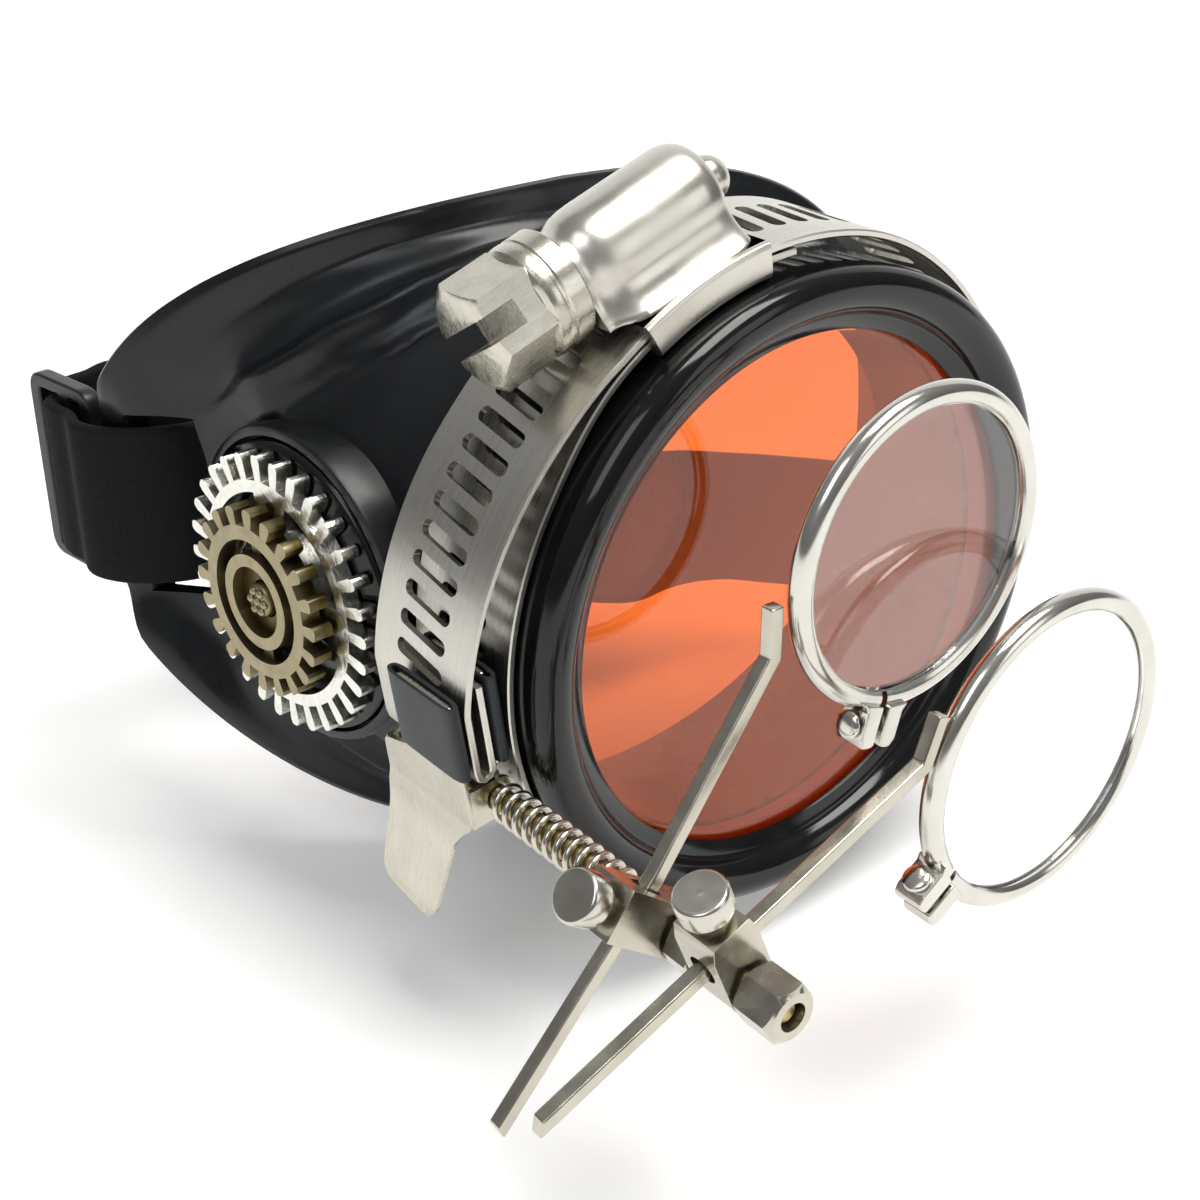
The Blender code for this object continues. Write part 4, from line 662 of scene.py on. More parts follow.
# %% Cup: outline of the rear edge
RING_R = 0.0284
RING_WALL = 0.0019
RING_DEPTH = 0.0126
LENS_T = 0.0022
APERTURE_R = 0.0230
GAP = 0.0003
barrel_front = LENS_T + 0.0012 + GAP * 2
barrel_r = RING_R - RING_WALL - GAP
barrel_rear = RING_DEPTH + 0.0004
NECK_R = 0.0280
NECK_Y = 0.0140
CUP_HALF_WIDTH = 0.0345
CUP_HALF_HEIGHT = 0.0300
CUP_OFF_X = 0.0040
CUP_OFF_Z = 0.0010
NOSE_DEPTH = 0.0215
MIDDLE_DEPTH = 0.0265
TEMPLE_DEPTH = 0.0520
CUP_WALL = 0.0020
LIP_H = 0.0018
CUP_SIDES = 200
FLARE = 1.25


def signed_power(value, power):
    return math.copysign(abs(value) ** power, value)


def rim_point(angle):
    """A point of the cup's rear edge: x, z and its depth."""
    c = math.cos(angle)
    s = math.sin(angle)
    roundness = 2.8 if s > 0 else 2.05
    x = -CUP_OFF_X + CUP_HALF_WIDTH * signed_power(c, 2 / roundness)
    z = -CUP_OFF_Z + CUP_HALF_HEIGHT * signed_power(s, 2 / roundness)
    toward = (x + CUP_OFF_X) / CUP_HALF_WIDTH
    if toward < 0:
        return x, z, MIDDLE_DEPTH + (TEMPLE_DEPTH - MIDDLE_DEPTH) * (-toward) ** 2.6
    return x, z, MIDDLE_DEPTH + (NOSE_DEPTH - MIDDLE_DEPTH) * toward


# %% Cup: relief of the lip, fold and crease
FOLD_SPOTS = (
    (0, 0.74), (16, 0.72), (28, 0.636), (41, 0.565), (53, 0.50), (70, 0.44), (90, 0.40), (180, 0.40)
)
CREASE_SPOTS = (
    (0, 0.70), (18, 0.613), (26, 0.526), (35, 0.455), (45, 0.361), (57, 0.296), (80, 0.24), (180, 0.2)
)
FOLD_H, FOLD_W = 0.0010, 0.05
CREASE_H, CREASE_W = 0.0005, 0.025
VALLEY_H, VALLEY_W = 0.0007, 0.09
LIP_START, LIP_RISE = 0.86, 0.07


def between(spots, value):
    """The height of a line through (value, height) spots."""
    for (a, low), (b, high) in zip(spots, spots[1:]):
        if value <= b:
            return low + (high - low) * smooth_step((value - a) / (b - a))
    return spots[-1][1]


def relief(angle, share):
    """How far the outer skin stands out; it fades near the temple and at the nose, in degrees."""
    away = math.degrees(abs(abs(angle) - math.pi))
    fold = between(FOLD_SPOTS, away)
    crease = between(CREASE_SPOTS, away)
    fading = smooth_step((away - 12) / 12) * (1 - smooth_step((away - 100) / 30))
    height = FOLD_H * math.exp(-(((share - fold) / FOLD_W) ** 2))
    height -= CREASE_H * math.exp(-(((share - crease) / CREASE_W) ** 2))
    height -= VALLEY_H * math.exp(-(((share - (fold + 0.90) / 2) / VALLEY_W) ** 2))
    lip = LIP_H * smooth_step((share - LIP_START) / LIP_RISE) * smooth_step((away - 11) / 10)
    return height * fading + lip


# %% Cup: the wall and the flat seat of the vent
GEAR_LEAN = math.radians(5.7)
GEAR_OUT = Vector((-math.cos(GEAR_LEAN), -math.sin(GEAR_LEAN), 0))
GEAR_FRAME = frame_at(Vector((-NECK_R - 0.0050, 0.0280, -0.0006)), GEAR_OUT, BACK)
TO_GEAR = GEAR_FRAME.inverted()
CAP_R = 0.0131
CAP_T = 0.0018
PLUG_R = 0.0110
SILVER_T = 0.0016
BOSS_WALL = 0.0009
BOSS_RISE = 0.0018
BOSS_ROOT = 0.0050
BOSS_EASE = 0.0005
SEAT_SHARE = 1.62
cap_front = -SILVER_T / 2 - GAP
cap_back = cap_front - CAP_T
boss_face = cap_back - GAP
boss_r = CAP_R + GAP + BOSS_WALL
seat_r = boss_r * SEAT_SHARE


def lowered(point, inset):
    """A point of the wall, brought down to the vent's level near the vent."""
    place = TO_GEAR @ point
    level = cap_back - inset
    away = (math.hypot(place.x, place.y) - boss_r) / (seat_r - boss_r)
    if place.z <= level or away >= 1:
        return point
    place.z = level + (place.z - level) * smooth_step(away)
    return GEAR_FRAME @ place


def cup_point(angle, share, grow):
    """A point on the wall, grown outward from the plain surface."""
    x1, z1, depth = rim_point(angle)
    along = share ** FLARE
    x = NECK_R * math.cos(angle) * (1 - along) + x1 * along
    z = NECK_R * math.sin(angle) * (1 - along) + z1 * along
    out = Vector((x + CUP_OFF_X * along, z + CUP_OFF_Z * along)).normalized() * grow
    return lowered(Vector((x + out.x, NECK_Y + (depth - NECK_Y) * share, z + out.y)), max(0.0, -grow))


def circle_point(angle, radius, depth):
    return Vector((radius * math.cos(angle), depth, radius * math.sin(angle)))


# %% Cup: loft the shell
angles = [-math.pi + TAU * i / CUP_SIDES for i in range(CUP_SIDES)]
loft = []
barrel = ((APERTURE_R, barrel_front), (barrel_r, barrel_front), (barrel_r, barrel_rear))
for radius, depth in barrel:
    loft.append([circle_point(a, radius, depth) for a in angles])
OUTER_STEPS = 56
for k in range(OUTER_STEPS + 1):
    share = 0.985 * k / OUTER_STEPS
    loft.append([cup_point(a, share, relief(a, share)) for a in angles])
for share, drop in ((0.995, 0.00025), (1.0, 0.0007)):
    loft.append([cup_point(a, share, relief(a, share) - drop) for a in angles])
for share, grow in ((1.0, -CUP_WALL * 0.75), (0.99, -CUP_WALL)):
    loft.append([cup_point(a, share, grow) for a in angles])
INNER_STEPS = 11
for k in range(1, INNER_STEPS + 1):
    share = 0.99 * (1 - k / (INNER_STEPS + 0.4))
    loft.append([cup_point(a, share, -CUP_WALL) for a in angles])
loft.append([circle_point(a, APERTURE_R, barrel_rear) for a in angles])

bm = bmesh.new()
rings = [[bm.verts.new(spot) for spot in row] for row in loft]
skin(bm, rings, closed=True)
cup = stand("cup_shell", mesh_from(bm, "cup_shell"))

# %% [markdown]
# The vent boss is a round seat on the temple side, open to the outside. Its wall is joined on
# and then bored out, and a slot is cut through the temple wall for the strap.

# %% Cup: vent boss and strap slot
boss_top = boss_face + BOSS_RISE
boss_section = [
    (0, boss_face - BOSS_ROOT), (boss_r, boss_face - BOSS_ROOT), (boss_r, boss_top - BOSS_EASE),
    (boss_r - BOSS_EASE * 0.3, boss_top - BOSS_EASE * 0.3), (boss_r - BOSS_EASE, boss_top), (0, boss_top),
]
boss = lathed("boss", boss_section, 96, GEAR_FRAME)
pocket = extruded("pocket", circle(CAP_R + GAP, 96), boss_face, 0.0150, GEAR_FRAME)
plug_bore = extruded(
    "plug_bore", circle(PLUG_R + GAP, 64), boss_face - 0.0070, boss_face + 0.0020, GEAR_FRAME
)
SLOT_Y = 0.0452
SLOT_W = 0.0053
SLOT_H = 0.0180
SLOT_REACH = 0.0050
STRAP_Z = 0.0015
slot_wall_x = cup_point(-math.pi, (SLOT_Y - NECK_Y) / (TEMPLE_DEPTH - NECK_Y), -CUP_WALL / 2).x
slot_outline = rectangle(
    SLOT_Y - SLOT_W / 2, SLOT_Y + SLOT_W / 2, STRAP_Z - SLOT_H / 2, STRAP_Z + SLOT_H / 2
)
strap_slot = extruded(
    "strap_slot", slot_outline, -SLOT_REACH, SLOT_REACH,
    frame_at(Vector((slot_wall_x, 0, 0)), ACROSS, BACK),
)
work(cup, "UNION", boss)
work(cup, "DIFFERENCE", pocket, plug_bore, strap_slot)
cup.data.shade_smooth()
cup.data.set_sharp_from_angle(angle=math.radians(40))
dress(cup, vinyl, "cup", "cup_pvc", "goggle_cup")

# %% [markdown]
# The vent cap is the plain black disc behind the gears; a low plug holds it in the boss.

# %% Vent cap
PLUG_L = 0.0030
CAP_EASE = 0.0003
cap_section = [
    (0, cap_back - PLUG_L), (PLUG_R, cap_back - PLUG_L), (PLUG_R, cap_back), (CAP_R - 0.0001, cap_back),
    (CAP_R, cap_back + 0.0001), (CAP_R, cap_front - CAP_EASE), (CAP_R - CAP_EASE, cap_front),
    (0, cap_front),
]
cap = lathed("vent_disc", cap_section, 96, GEAR_FRAME)
dress(cap, ring_abs, "cup", "cup_pvc", "vent_cap")

# %% [markdown]
# ## Screw ring, lens and seat
# All three are turned. The ring's front is the shape to get right: a rounded shoulder, a broad
# bevel that falls towards the lens and one small step. Each bend is a few close points, so the
# reflections turn softly instead of breaking.

# %% Screw ring
LENS_FRAME = frame_at(Vector((0, 0, 0)), BACK, ACROSS)
ring_inner = RING_R - RING_WALL
ring_section = [
    (ring_inner, RING_DEPTH), (ring_inner, -GAP), (APERTURE_R, -GAP), (APERTURE_R, -0.00062),
    (0.02310, -0.00075), (0.02415, -0.00105), (0.02440, -0.00120), (0.02455, -0.00150),
    (0.02470, -0.00180), (0.02500, -0.00225), (0.02550, -0.00262), (0.02610, -0.00283),
    (0.02670, -0.00290), (0.02725, -0.00282), (0.02775, -0.00258), (0.02812, -0.00218),
    (0.02833, -0.00170), (RING_R, -0.00115), (RING_R, RING_DEPTH - 0.0003), (RING_R - 0.0003, RING_DEPTH),
]
screw_ring = lathed("screw_ring", ring_section, 180, LENS_FRAME, closed=True)
dress(screw_ring, ring_abs, "cup", "ring_plastic", "retaining_ring")

# %% Lens and seat
LENS_R = 0.0256
face_r = APERTURE_R - 0.0003
lens_section = [
    (0, 0), (face_r, 0), (LENS_R - 0.0002, 0.0004), (LENS_R, 0.0006), (LENS_R, LENS_T - 0.0002),
    (LENS_R - 0.0002, LENS_T), (0, LENS_T),
]
tinted_lens = lathed("tinted_lens", lens_section, 160, LENS_FRAME)
tinted_lens.data.set_sharp_from_angle(angle=math.radians(3))
dress(tinted_lens, lens_orange, "cup", "lens_tint", "main_lens")
SEAT_R = 0.0232
SEAT_T = 0.0012
seat_front = LENS_T + GAP
seat_section = rectangle(SEAT_R, LENS_R, seat_front, seat_front + SEAT_T)
lens_seat = lathed("lens_seat", seat_section, 120, LENS_FRAME, closed=True)
dress(lens_seat, seat_silicone, "cup", "gasket_rubber", "lens_gasket")

# %% [markdown]
# ## Clamp band
# A hose clamp is one long strip. It starts under the housing, runs once round the ring, climbs
# over its own start, leaves as a straight tail and ends in a small hook. Here it is made as it
# is in the factory: a flat strip with eased edges, a row of slanted slots punched through it,
# and then bent along its path. Bending last keeps every slot the same shape.

# %% Path of the band, seen from the front
BAND_T = 0.0006
BAND_W = 0.0127
BAND_FRONT = 0.0005
BAND_GAP = 0.0002
CLAMP_ANGLE = math.radians(110)
inner_line = RING_R + BAND_GAP + BAND_T / 2
lifted_line = inner_line + 0.0005 + BAND_GAP
top_line = lifted_line + BAND_T + BAND_GAP
CLIP_LEAN = math.radians(8)
clip_up = Vector((-math.sin(CLIP_LEAN), math.cos(CLIP_LEAN)))
clip_out = Vector((-math.cos(CLIP_LEAN), -math.sin(CLIP_LEAN)))
PLATE_T = 0.00045
SLEEVE_GAP = 0.0001
SLEEVE_WALL = 0.00033
sleeve_t = PLATE_T + 2 * SLEEVE_GAP + 2 * SLEEVE_WALL
ring_face = inner_line + BAND_T / 2 + BAND_GAP
pin = clip_out * (ring_face + 0.0015) - clip_up * 0.00434
inner_jaw_out = sleeve_t / 2 - 0.0015
return_out = inner_jaw_out + sleeve_t / 2 + 0.00015 + BAND_T / 2
HOOK_R = 0.0007
HOOK_RISE = 0.0032
HOOK_TOP = 0.0088
HOOK_END = 0.0108
tail_out = return_out + 2 * HOOK_R
outer_jaw_out = tail_out + BAND_T / 2 + 0.00015 + sleeve_t / 2


def clip_point(out, up):
    return pin + clip_out * out + clip_up * up


def ray(angle, length=1.0):
    return Vector((math.cos(angle), math.sin(angle))) * length


def band_radius(degrees):
    if degrees < 150:
        return lifted_line + (inner_line - lifted_line) * smooth_step((degrees - 127) / 23)
    return inner_line + (top_line - inner_line) * smooth_step((degrees - 385) / 55)


route = [ray(math.radians(d), band_radius(d)) for d in range(92, 487, 2)]
tail_centre = Vector((-0.0021, -0.0024))
first = route[-1] - tail_centre
last = clip_point(tail_out, HOOK_TOP) - tail_centre
tail_r = ring_face + 0.0015
start_angle = math.atan2(first.y, first.x)
end_angle = math.atan2(last.y, last.x) % TAU
TAIL_STEPS = 27
for i in range(1, TAIL_STEPS + 1):
    share = i / TAIL_STEPS
    reach = first.length + (tail_r - first.length) * smooth_step(share * 3)
    reach += (last.length - tail_r) * smooth_step(share * 3 - 2)
    route.append(tail_centre + ray(start_angle + (end_angle - start_angle) * share, reach))
route.append(clip_point(tail_out, (HOOK_TOP + HOOK_RISE) / 2))
for i in range(13):
    turn = -math.pi * i / 12
    out = (tail_out + return_out) / 2 + HOOK_R * math.cos(turn)
    route.append(clip_point(out, HOOK_RISE + HOOK_R * math.sin(turn)))
route += [clip_point(return_out, (HOOK_END + HOOK_RISE) / 2), clip_point(return_out, HOOK_END)]
lengths = [0.0]
for a, b in zip(route, route[1:]):
    lengths.append(lengths[-1] + (b - a).length)
print("band length", round(lengths[-1] * 1000, 1), "mm")

# %% Flat strip with punched slots, then bent
SLOT_PITCH = 0.0024
SLOT_LENGTH = 0.0062
SLOT_WIDTH = 0.0013
SLOT_SLANT = math.radians(8)
SLOT_FIRST = 0.0216
EDGE = 0.00012
hook_length = HOOK_TOP + HOOK_END - 2 * HOOK_RISE + math.pi * HOOK_R
slot_count = int((lengths[-1] - SLOT_FIRST - hook_length) / SLOT_PITCH)
half = BAND_T / 2
strip_section = [
    (0, half - EDGE), (EDGE, half), (BAND_W - EDGE, half), (BAND_W, half - EDGE),
    (BAND_W, EDGE - half), (BAND_W - EDGE, -half), (EDGE, -half), (0, EDGE - half),
]
STRIP_STEPS = 420
bm = bmesh.new()
rows = [
    [bm.verts.new((lengths[-1] * i / STRIP_STEPS, across, height)) for across, height in strip_section]
    for i in range(STRIP_STEPS + 1)
]
skin(bm, rows)
band = stand("slotted_strip", mesh_from(bm, "slotted_strip"))

reach = (SLOT_LENGTH - SLOT_WIDTH) / 2
slot_shape = [(x, y - reach) for x, y in circle(SLOT_WIDTH / 2, 9, math.pi, math.pi)]
slot_shape += [(x, y + reach) for x, y in circle(SLOT_WIDTH / 2, 9, 0, math.pi)]
bm = bmesh.new()
for i in range(slot_count):
    punch = prism("punch", slot_shape, -BAND_T, BAND_T)
    place = Matrix.Translation((SLOT_FIRST + SLOT_PITCH * (i + 0.5), BAND_W / 2, 0))
    punch.transform(place @ Matrix.Rotation(SLOT_SLANT, 4, "Z"))
    bm.from_mesh(punch)
    bpy.data.meshes.remove(punch)
punches = stand("punches", mesh_from(bm, "punches"))
work(band, "DIFFERENCE", punches)

bm = bmesh.new()
bm.from_mesh(band.data)
bmesh.ops.triangulate(bm, faces=bm.faces)
index = 0
for vert in sorted(bm.verts, key=lambda v: v.co.x):
    while index < len(route) - 2 and lengths[index + 1] < vert.co.x:
        index += 1
    share = (vert.co.x - lengths[index]) / (lengths[index + 1] - lengths[index])
    before = (route[min(index + 1, len(route) - 1)] - route[max(index - 1, 0)]).normalized()
    after = (route[min(index + 2, len(route) - 1)] - route[index]).normalized()
    way = before.lerp(after, share).normalized()
    spot = route[index].lerp(route[index + 1], share) + Vector((way.y, -way.x)) * vert.co.z
    vert.co = (spot.x, BAND_FRONT + vert.co.y, spot.y)
band.data = mesh_from(bm, "slotted_strip", 35)
dress(band, strip_steel, "cup", "clamp_steel", "clamp_band")

# %% [markdown]
# ## Housing and saddle
# The housing is pressed from sheet into a smooth hood: round over the screw, drawn in to a neck
# at the screw's head, rounded off at the far end, and spread into a foot along both sides. It is
# lofted from outlines along the screw. The saddle is a strip folded up round both edges of the
# band and rolled over the hood's feet.

# %% Housing: outlines along the screw
WORM_R = 0.0032
NECK_SCREW_R = 0.0019
HOUSING_WALL = 0.0008
HOUSING_FRONT = 0.0080
HOUSING_REAR = 0.0060
band_middle = BAND_FRONT + BAND_W / 2
band_top = top_line + BAND_T / 2
housing_skirt = BAND_W / 2 - 0.00015
clamp_out = Vector((math.cos(CLAMP_ANGLE), 0, math.sin(CLAMP_ANGLE)))
screw_way = Vector((math.sin(CLAMP_ANGLE), 0, -math.cos(CLAMP_ANGLE)))
screw_centre = clamp_out * (band_top + BAND_GAP + WORM_R) + BACK * band_middle
SCREW_FRAME = frame_at(screw_centre, screw_way, BACK)
inward = -1 if (SCREW_FRAME.to_3x3() @ BACK).dot(clamp_out) > 0 else 1
tunnel_r = WORM_R + GAP
dome_r = tunnel_r + HOUSING_WALL
HOOD_STATIONS = (
    (-0.0080, 0.84, 0.66), (-0.0077, 0.82, 0.66), (-0.0073, 0.82, 0.68), (-0.0069, 0.84, 0.72),
    (-0.0064, 0.90, 0.80), (-0.0058, 0.96, 0.88), (-0.0050, 0.99, 0.95), (-0.0040, 1.0, 0.99),
    (-0.0028, 1.0, 1.0), (-0.0010, 1.0, 1.0), (0.0010, 1.0, 1.0), (0.0028, 1.0, 1.0), (0.0040, 1.0, 1.0),
    (0.0047, 0.985, 1.0), (0.0052, 0.955, 0.99), (0.0056, 0.91, 0.98), (0.00585, 0.85, 0.96),
    (0.0060, 0.78, 0.94),
)


def hood_outline(dome_share, foot_share):
    """Half of it first: down from the crown, in at the waist and out to the foot."""
    radius = dome_r * dome_share
    reach = radius + (housing_skirt - dome_r) * foot_share
    side = circle(radius, 15, -math.pi / 2, math.pi / 2)
    for k in range(1, 10):
        share = k / 9
        side.append((radius + (reach - radius) * share ** 2.2, WORM_R * 0.93 * share))
    side.append((reach, WORM_R))
    return [(x, inward * y) for x, y in side] + [(-x, inward * y) for x, y in side[:0:-1]]


bm = bmesh.new()
rows = [
    [bm.verts.new((x, y, along)) for x, y in hood_outline(dome_share, foot_share)]
    for along, dome_share, foot_share in HOOD_STATIONS
]
skin(bm, rows)
hood = stand("pressed_hood", mesh_from(bm, "pressed_hood"), SCREW_FRAME)
tunnel = extruded("tunnel", circle(tunnel_r, 40), -0.0061, HOUSING_REAR - HOUSING_WALL, SCREW_FRAME)
throat = extruded(
    "throat", circle(NECK_SCREW_R + GAP, 32), -HOUSING_FRONT - 0.002, HOUSING_REAR + 0.002, SCREW_FRAME
)
mouth = extruded("mouth", circle(0.00285, 40), -HOUSING_FRONT + HOUSING_WALL, 0, SCREW_FRAME)
work(hood, "DIFFERENCE", tunnel, mouth, throat)
ease_edges(hood, 0.00012, from_angle=50)
dress(hood, pressed_steel, "cup", "housing_steel", "clamp_housing")

# %% Saddle: a folded section swept round the ring
SADDLE_HALF = math.radians(11.5)
SADDLE_T = 0.0005
saddle_low = RING_R + BAND_GAP
edge_front = BAND_FRONT - 0.0009
edge_back = BAND_FRONT + BAND_W + 0.0009
leg_r = band_top + BAND_GAP
saddle_top = leg_r + 0.0007
inner_front = band_middle - housing_skirt - GAP * 2
inner_back = band_middle + housing_skirt + GAP * 2


def corner(cx, cy, radius, start, turn=90, steps=6):
    """Points round a bend, centred where the bend turns; start and turn are in degrees."""
    return [polar(radius, math.radians(start + turn * k / steps), cx, cy) for k in range(steps + 1)]


BEND = 0.0006
ROLL = 0.00055
TURN_IN = 0.0002
SADDLE_STEPS = 24
saddle_section = [
    *corner(saddle_low + BEND, edge_front + BEND, BEND, 180),
    *corner(saddle_top - ROLL, edge_front + ROLL, ROLL, 270),
    (saddle_top, inner_front - TURN_IN), (saddle_top - TURN_IN, inner_front), (leg_r, inner_front),
    (leg_r, edge_front + SADDLE_T), (saddle_low + SADDLE_T, edge_front + SADDLE_T),
    (saddle_low + SADDLE_T, edge_back - SADDLE_T), (leg_r, edge_back - SADDLE_T),
    (leg_r, inner_back), (saddle_top - TURN_IN, inner_back), (saddle_top, inner_back + TURN_IN),
    *corner(saddle_top - ROLL, edge_back - ROLL, ROLL, 0),
    *corner(saddle_low + BEND, edge_back - BEND, BEND, 90),
]
bm = bmesh.new()
slices = []
for i in range(SADDLE_STEPS + 1):
    angle = CLAMP_ANGLE - SADDLE_HALF + 2 * SADDLE_HALF * i / SADDLE_STEPS
    slices.append([bm.verts.new(circle_point(angle, r, y)) for r, y in saddle_section])
skin(bm, slices)
saddle = stand("folded_saddle", mesh_from(bm, "folded_saddle"))
dress(saddle, pressed_steel, "cup", "housing_steel", "clamp_saddle")

# %% [markdown]
# ## Clamp screw
# The screw is turned from bar: a thread under the hood, a small domed tail, a collar with one
# groove, and a hexagon head cut by a screwdriver slot. The end of the hexagon is chamfered
# on the lathe, which turns its six corners into small arcs; intersecting it with a
# cone-ended cylinder does the same.

# %% Screw
COLLAR_R = 0.0046
COLLAR_L = 0.0036
HEX_AF = 0.0080
HEX_L = 0.0048
SCREW_TAIL = 0.0090
collar_back = -HOUSING_FRONT - GAP
collar_front = collar_back - COLLAR_L
hex_front = collar_front - HEX_L
shank = [
    (0, collar_front - 0.0010), (0.0030, collar_front - 0.0010), (0.0030, collar_front),
    (COLLAR_R - 0.0005, collar_front), (COLLAR_R - 0.0001, collar_front + 0.00035),
    (COLLAR_R, collar_front + 0.0008), (COLLAR_R, collar_front + 0.0013),
    (COLLAR_R - 0.00012, collar_front + 0.00142), (COLLAR_R - 0.00012, collar_front + 0.0017),
    (COLLAR_R, collar_front + 0.00182), (COLLAR_R, collar_back - 0.00025),
    (COLLAR_R - 0.0002, collar_back), (NECK_SCREW_R, collar_back),
]
worm_front = -0.0061 + GAP
worm_back = HOUSING_REAR - HOUSING_WALL - GAP
shank.append((NECK_SCREW_R, worm_front))
THREAD_RINGS = 4
THREAD_ROOT_R = 0.0027
pitch = (worm_back - worm_front) / THREAD_RINGS
for i in range(THREAD_RINGS):
    start = worm_front + pitch * i
    shank += [(WORM_R - GAP, start + pitch * 0.1), (WORM_R - GAP, start + pitch * 0.45)]
    shank += [(THREAD_ROOT_R, start + pitch * 0.6), (THREAD_ROOT_R, start + pitch * 0.85)]
tail_start = HOUSING_REAR + 0.0012
shank += [(NECK_SCREW_R, worm_back), (NECK_SCREW_R, tail_start)]
for dome_r, rise in circle(1.0, 9, 0, math.pi / 2)[1:]:
    shank.append((NECK_SCREW_R * dome_r, tail_start + (SCREW_TAIL - tail_start) * rise))
screw = lathed("slotted_screw", shank, 72, SCREW_FRAME)
corner_r = HEX_AF / math.sqrt(3)
hex_head = extruded("hex_head", circle(corner_r, 6), hex_front, collar_front + 0.0002, SCREW_FRAME)
chamfer_section = [
    (0, hex_front), (0.0036, hex_front), (corner_r + 0.0002, hex_front + 0.0007),
    (corner_r + 0.0002, collar_front + 0.0010), (0, collar_front + 0.0010),
]
chamfer = lathed("chamfer", chamfer_section, 96, SCREW_FRAME)
work(hex_head, "INTERSECT", chamfer)
work(screw, "UNION", hex_head)
DRIVER_W = 0.0020
DRIVER_DEPTH = 0.0030
DRIVER_ANGLE = math.radians(150)
driver = extruded(
    "driver", rectangle(-HEX_AF, HEX_AF, -DRIVER_W / 2, DRIVER_W / 2), hex_front - 0.002,
    hex_front + DRIVER_DEPTH, SCREW_FRAME @ Matrix.Rotation(DRIVER_ANGLE, 4, "Z"),
)
work(screw, "DIFFERENCE", driver)
ease_edges(screw, 0.00013)
dress(screw, cut_steel, "worm", "screw_steel", "worm_screw")

# %% [markdown]
# ## Ornamental gears
# The gears are flat castings laid on the vent cap. The silver one has long, narrow teeth and
# curved windows, half hidden. The bronze one is thick, so the deep flanks of its teeth show; its
# face has a sunk ring with four spokes and a small flower in the middle. Each is cut from a
# disc like a gear blank: first the teeth, then the windows, then the sunk rings.


# %% Gear outlines and windows; cutters pass a millimetre beyond the metal
PASS = 0.001


def gear_outline(radius, depth, teeth, tip, root):
    """Teeth with rounded tips; tip and root are the tooth's widths as shares of the pitch."""
    points = []
    for i in range(teeth):
        middle = TAU * i / teeth
        pitch = TAU / teeth
        for reach, width in (
            (-depth, -root), (-depth * 0.25, -tip), (-depth * 0.06, -tip * 0.75), (0, -tip * 0.35),
            (0, tip * 0.35), (-depth * 0.06, tip * 0.75), (-depth * 0.25, tip), (-depth, root),
        ):
            points.append(polar(radius + reach, middle + pitch * width / 2))
    return points


def windows(inner, outer, start, turn, low, high):
    """Four curved openings between two radii; start and turn are in degrees."""
    cutters = []
    steps = int(turn / 5)
    for i in range(4):
        row = [math.radians(start + 90 * i + turn * k / steps) for k in range(steps + 1)]
        outline = [polar(inner, a) for a in row] + [polar(outer, a) for a in reversed(row)]
        cutters.append(extruded("arc", outline, low - PASS, high + PASS, GEAR_FRAME))
    return cutters


# %% Silver gear
SILVER_R = 0.0125
silver_low = -SILVER_T / 2
silver_high = SILVER_T / 2
silver = extruded(
    "silver_casting", gear_outline(SILVER_R, 0.0023, 30, 0.46, 0.40), silver_low, silver_high, GEAR_FRAME
)
silver_eye = extruded("silver_eye", circle(0.0052, 48), silver_low - PASS, silver_high + PASS, GEAR_FRAME)
work(silver, "DIFFERENCE", silver_eye, *windows(0.0066, 0.0091, 12, 62, silver_low, silver_high))
ease_edges(silver, 0.00022)
dress(silver, silver_plate, "cup", "gear_silver", "silver_gear")

# %% [markdown]
# The small gear and its flower are antiqued bronze. The maker blackens the whole piece and rubs
# the high spots clean again, so the colour follows the height: nearly black-brown on the floor
# of the grooves, a dull grey-gold on the face. Height is measured out from the vent.

# %% Antiqued bronze
BRONZE_R = 0.0085
bronze_low = SILVER_T / 2 + GAP
bronze_high = bronze_low + 0.0018
face_height = GEAR_FRAME.translation.dot(GEAR_OUT) + bronze_high
old_bronze, tree, shader, place = new_finish("antiqued_bronze", Metallic=1.0)
out_way = add_node(
    tree, "ShaderNodeVectorMath", {1: tuple(GEAR_OUT)}, {0: place}, operation="DOT_PRODUCT"
)
rubbed = add_node(
    tree, "ShaderNodeMapRange", {"From Min": face_height - 0.0011, "From Max": face_height - 0.0002},
    {"Value": out_way.outputs["Value"]},
)
patina = cloudy(tree, place, 900, 5)
dark = tinted(tree, "#3a3120", "#7d6d3f", patina)
pale = tinted(tree, "#8f8467", "#aa9f81", patina)
tone = add_node(tree, "ShaderNodeMix", links={0: rubbed.outputs[0], 6: dark, 7: pale}, data_type="RGBA")
tree.links.new(tone.outputs[2], shader.inputs["Base Color"])
surface(tree, shader, gloss=(0.5, 0.3, patina), bump=(0.4, 0.00003, patina))

# %% Bronze gear
bronze = extruded(
    "bronze_casting", gear_outline(BRONZE_R, 0.0016, 20, 0.50, 0.40), bronze_low, bronze_high, GEAR_FRAME
)
SUNK_IN, SUNK_OUT = 0.0043, 0.0056
bronze_cutters = [
    lathed(
        name, rectangle(inner, outer, bronze_high - depth, bronze_high + PASS), sides, GEAR_FRAME,
        closed=True,
    )
    for name, inner, outer, depth,
    sides in (("sunk_ring", SUNK_IN, SUNK_OUT, 0.0008, 72), ("moat", 0.0016, 0.0032, 0.0011, 64))
]
bronze_cutters.append(
    extruded("bronze_eye", circle(0.0017, 40), bronze_low - PASS, bronze_high + PASS, GEAR_FRAME)
)
bronze_cutters += windows(SUNK_IN, SUNK_OUT, 10, 74, bronze_low, bronze_high)
work(bronze, "DIFFERENCE", *bronze_cutters)
ease_edges(bronze, 0.00015)
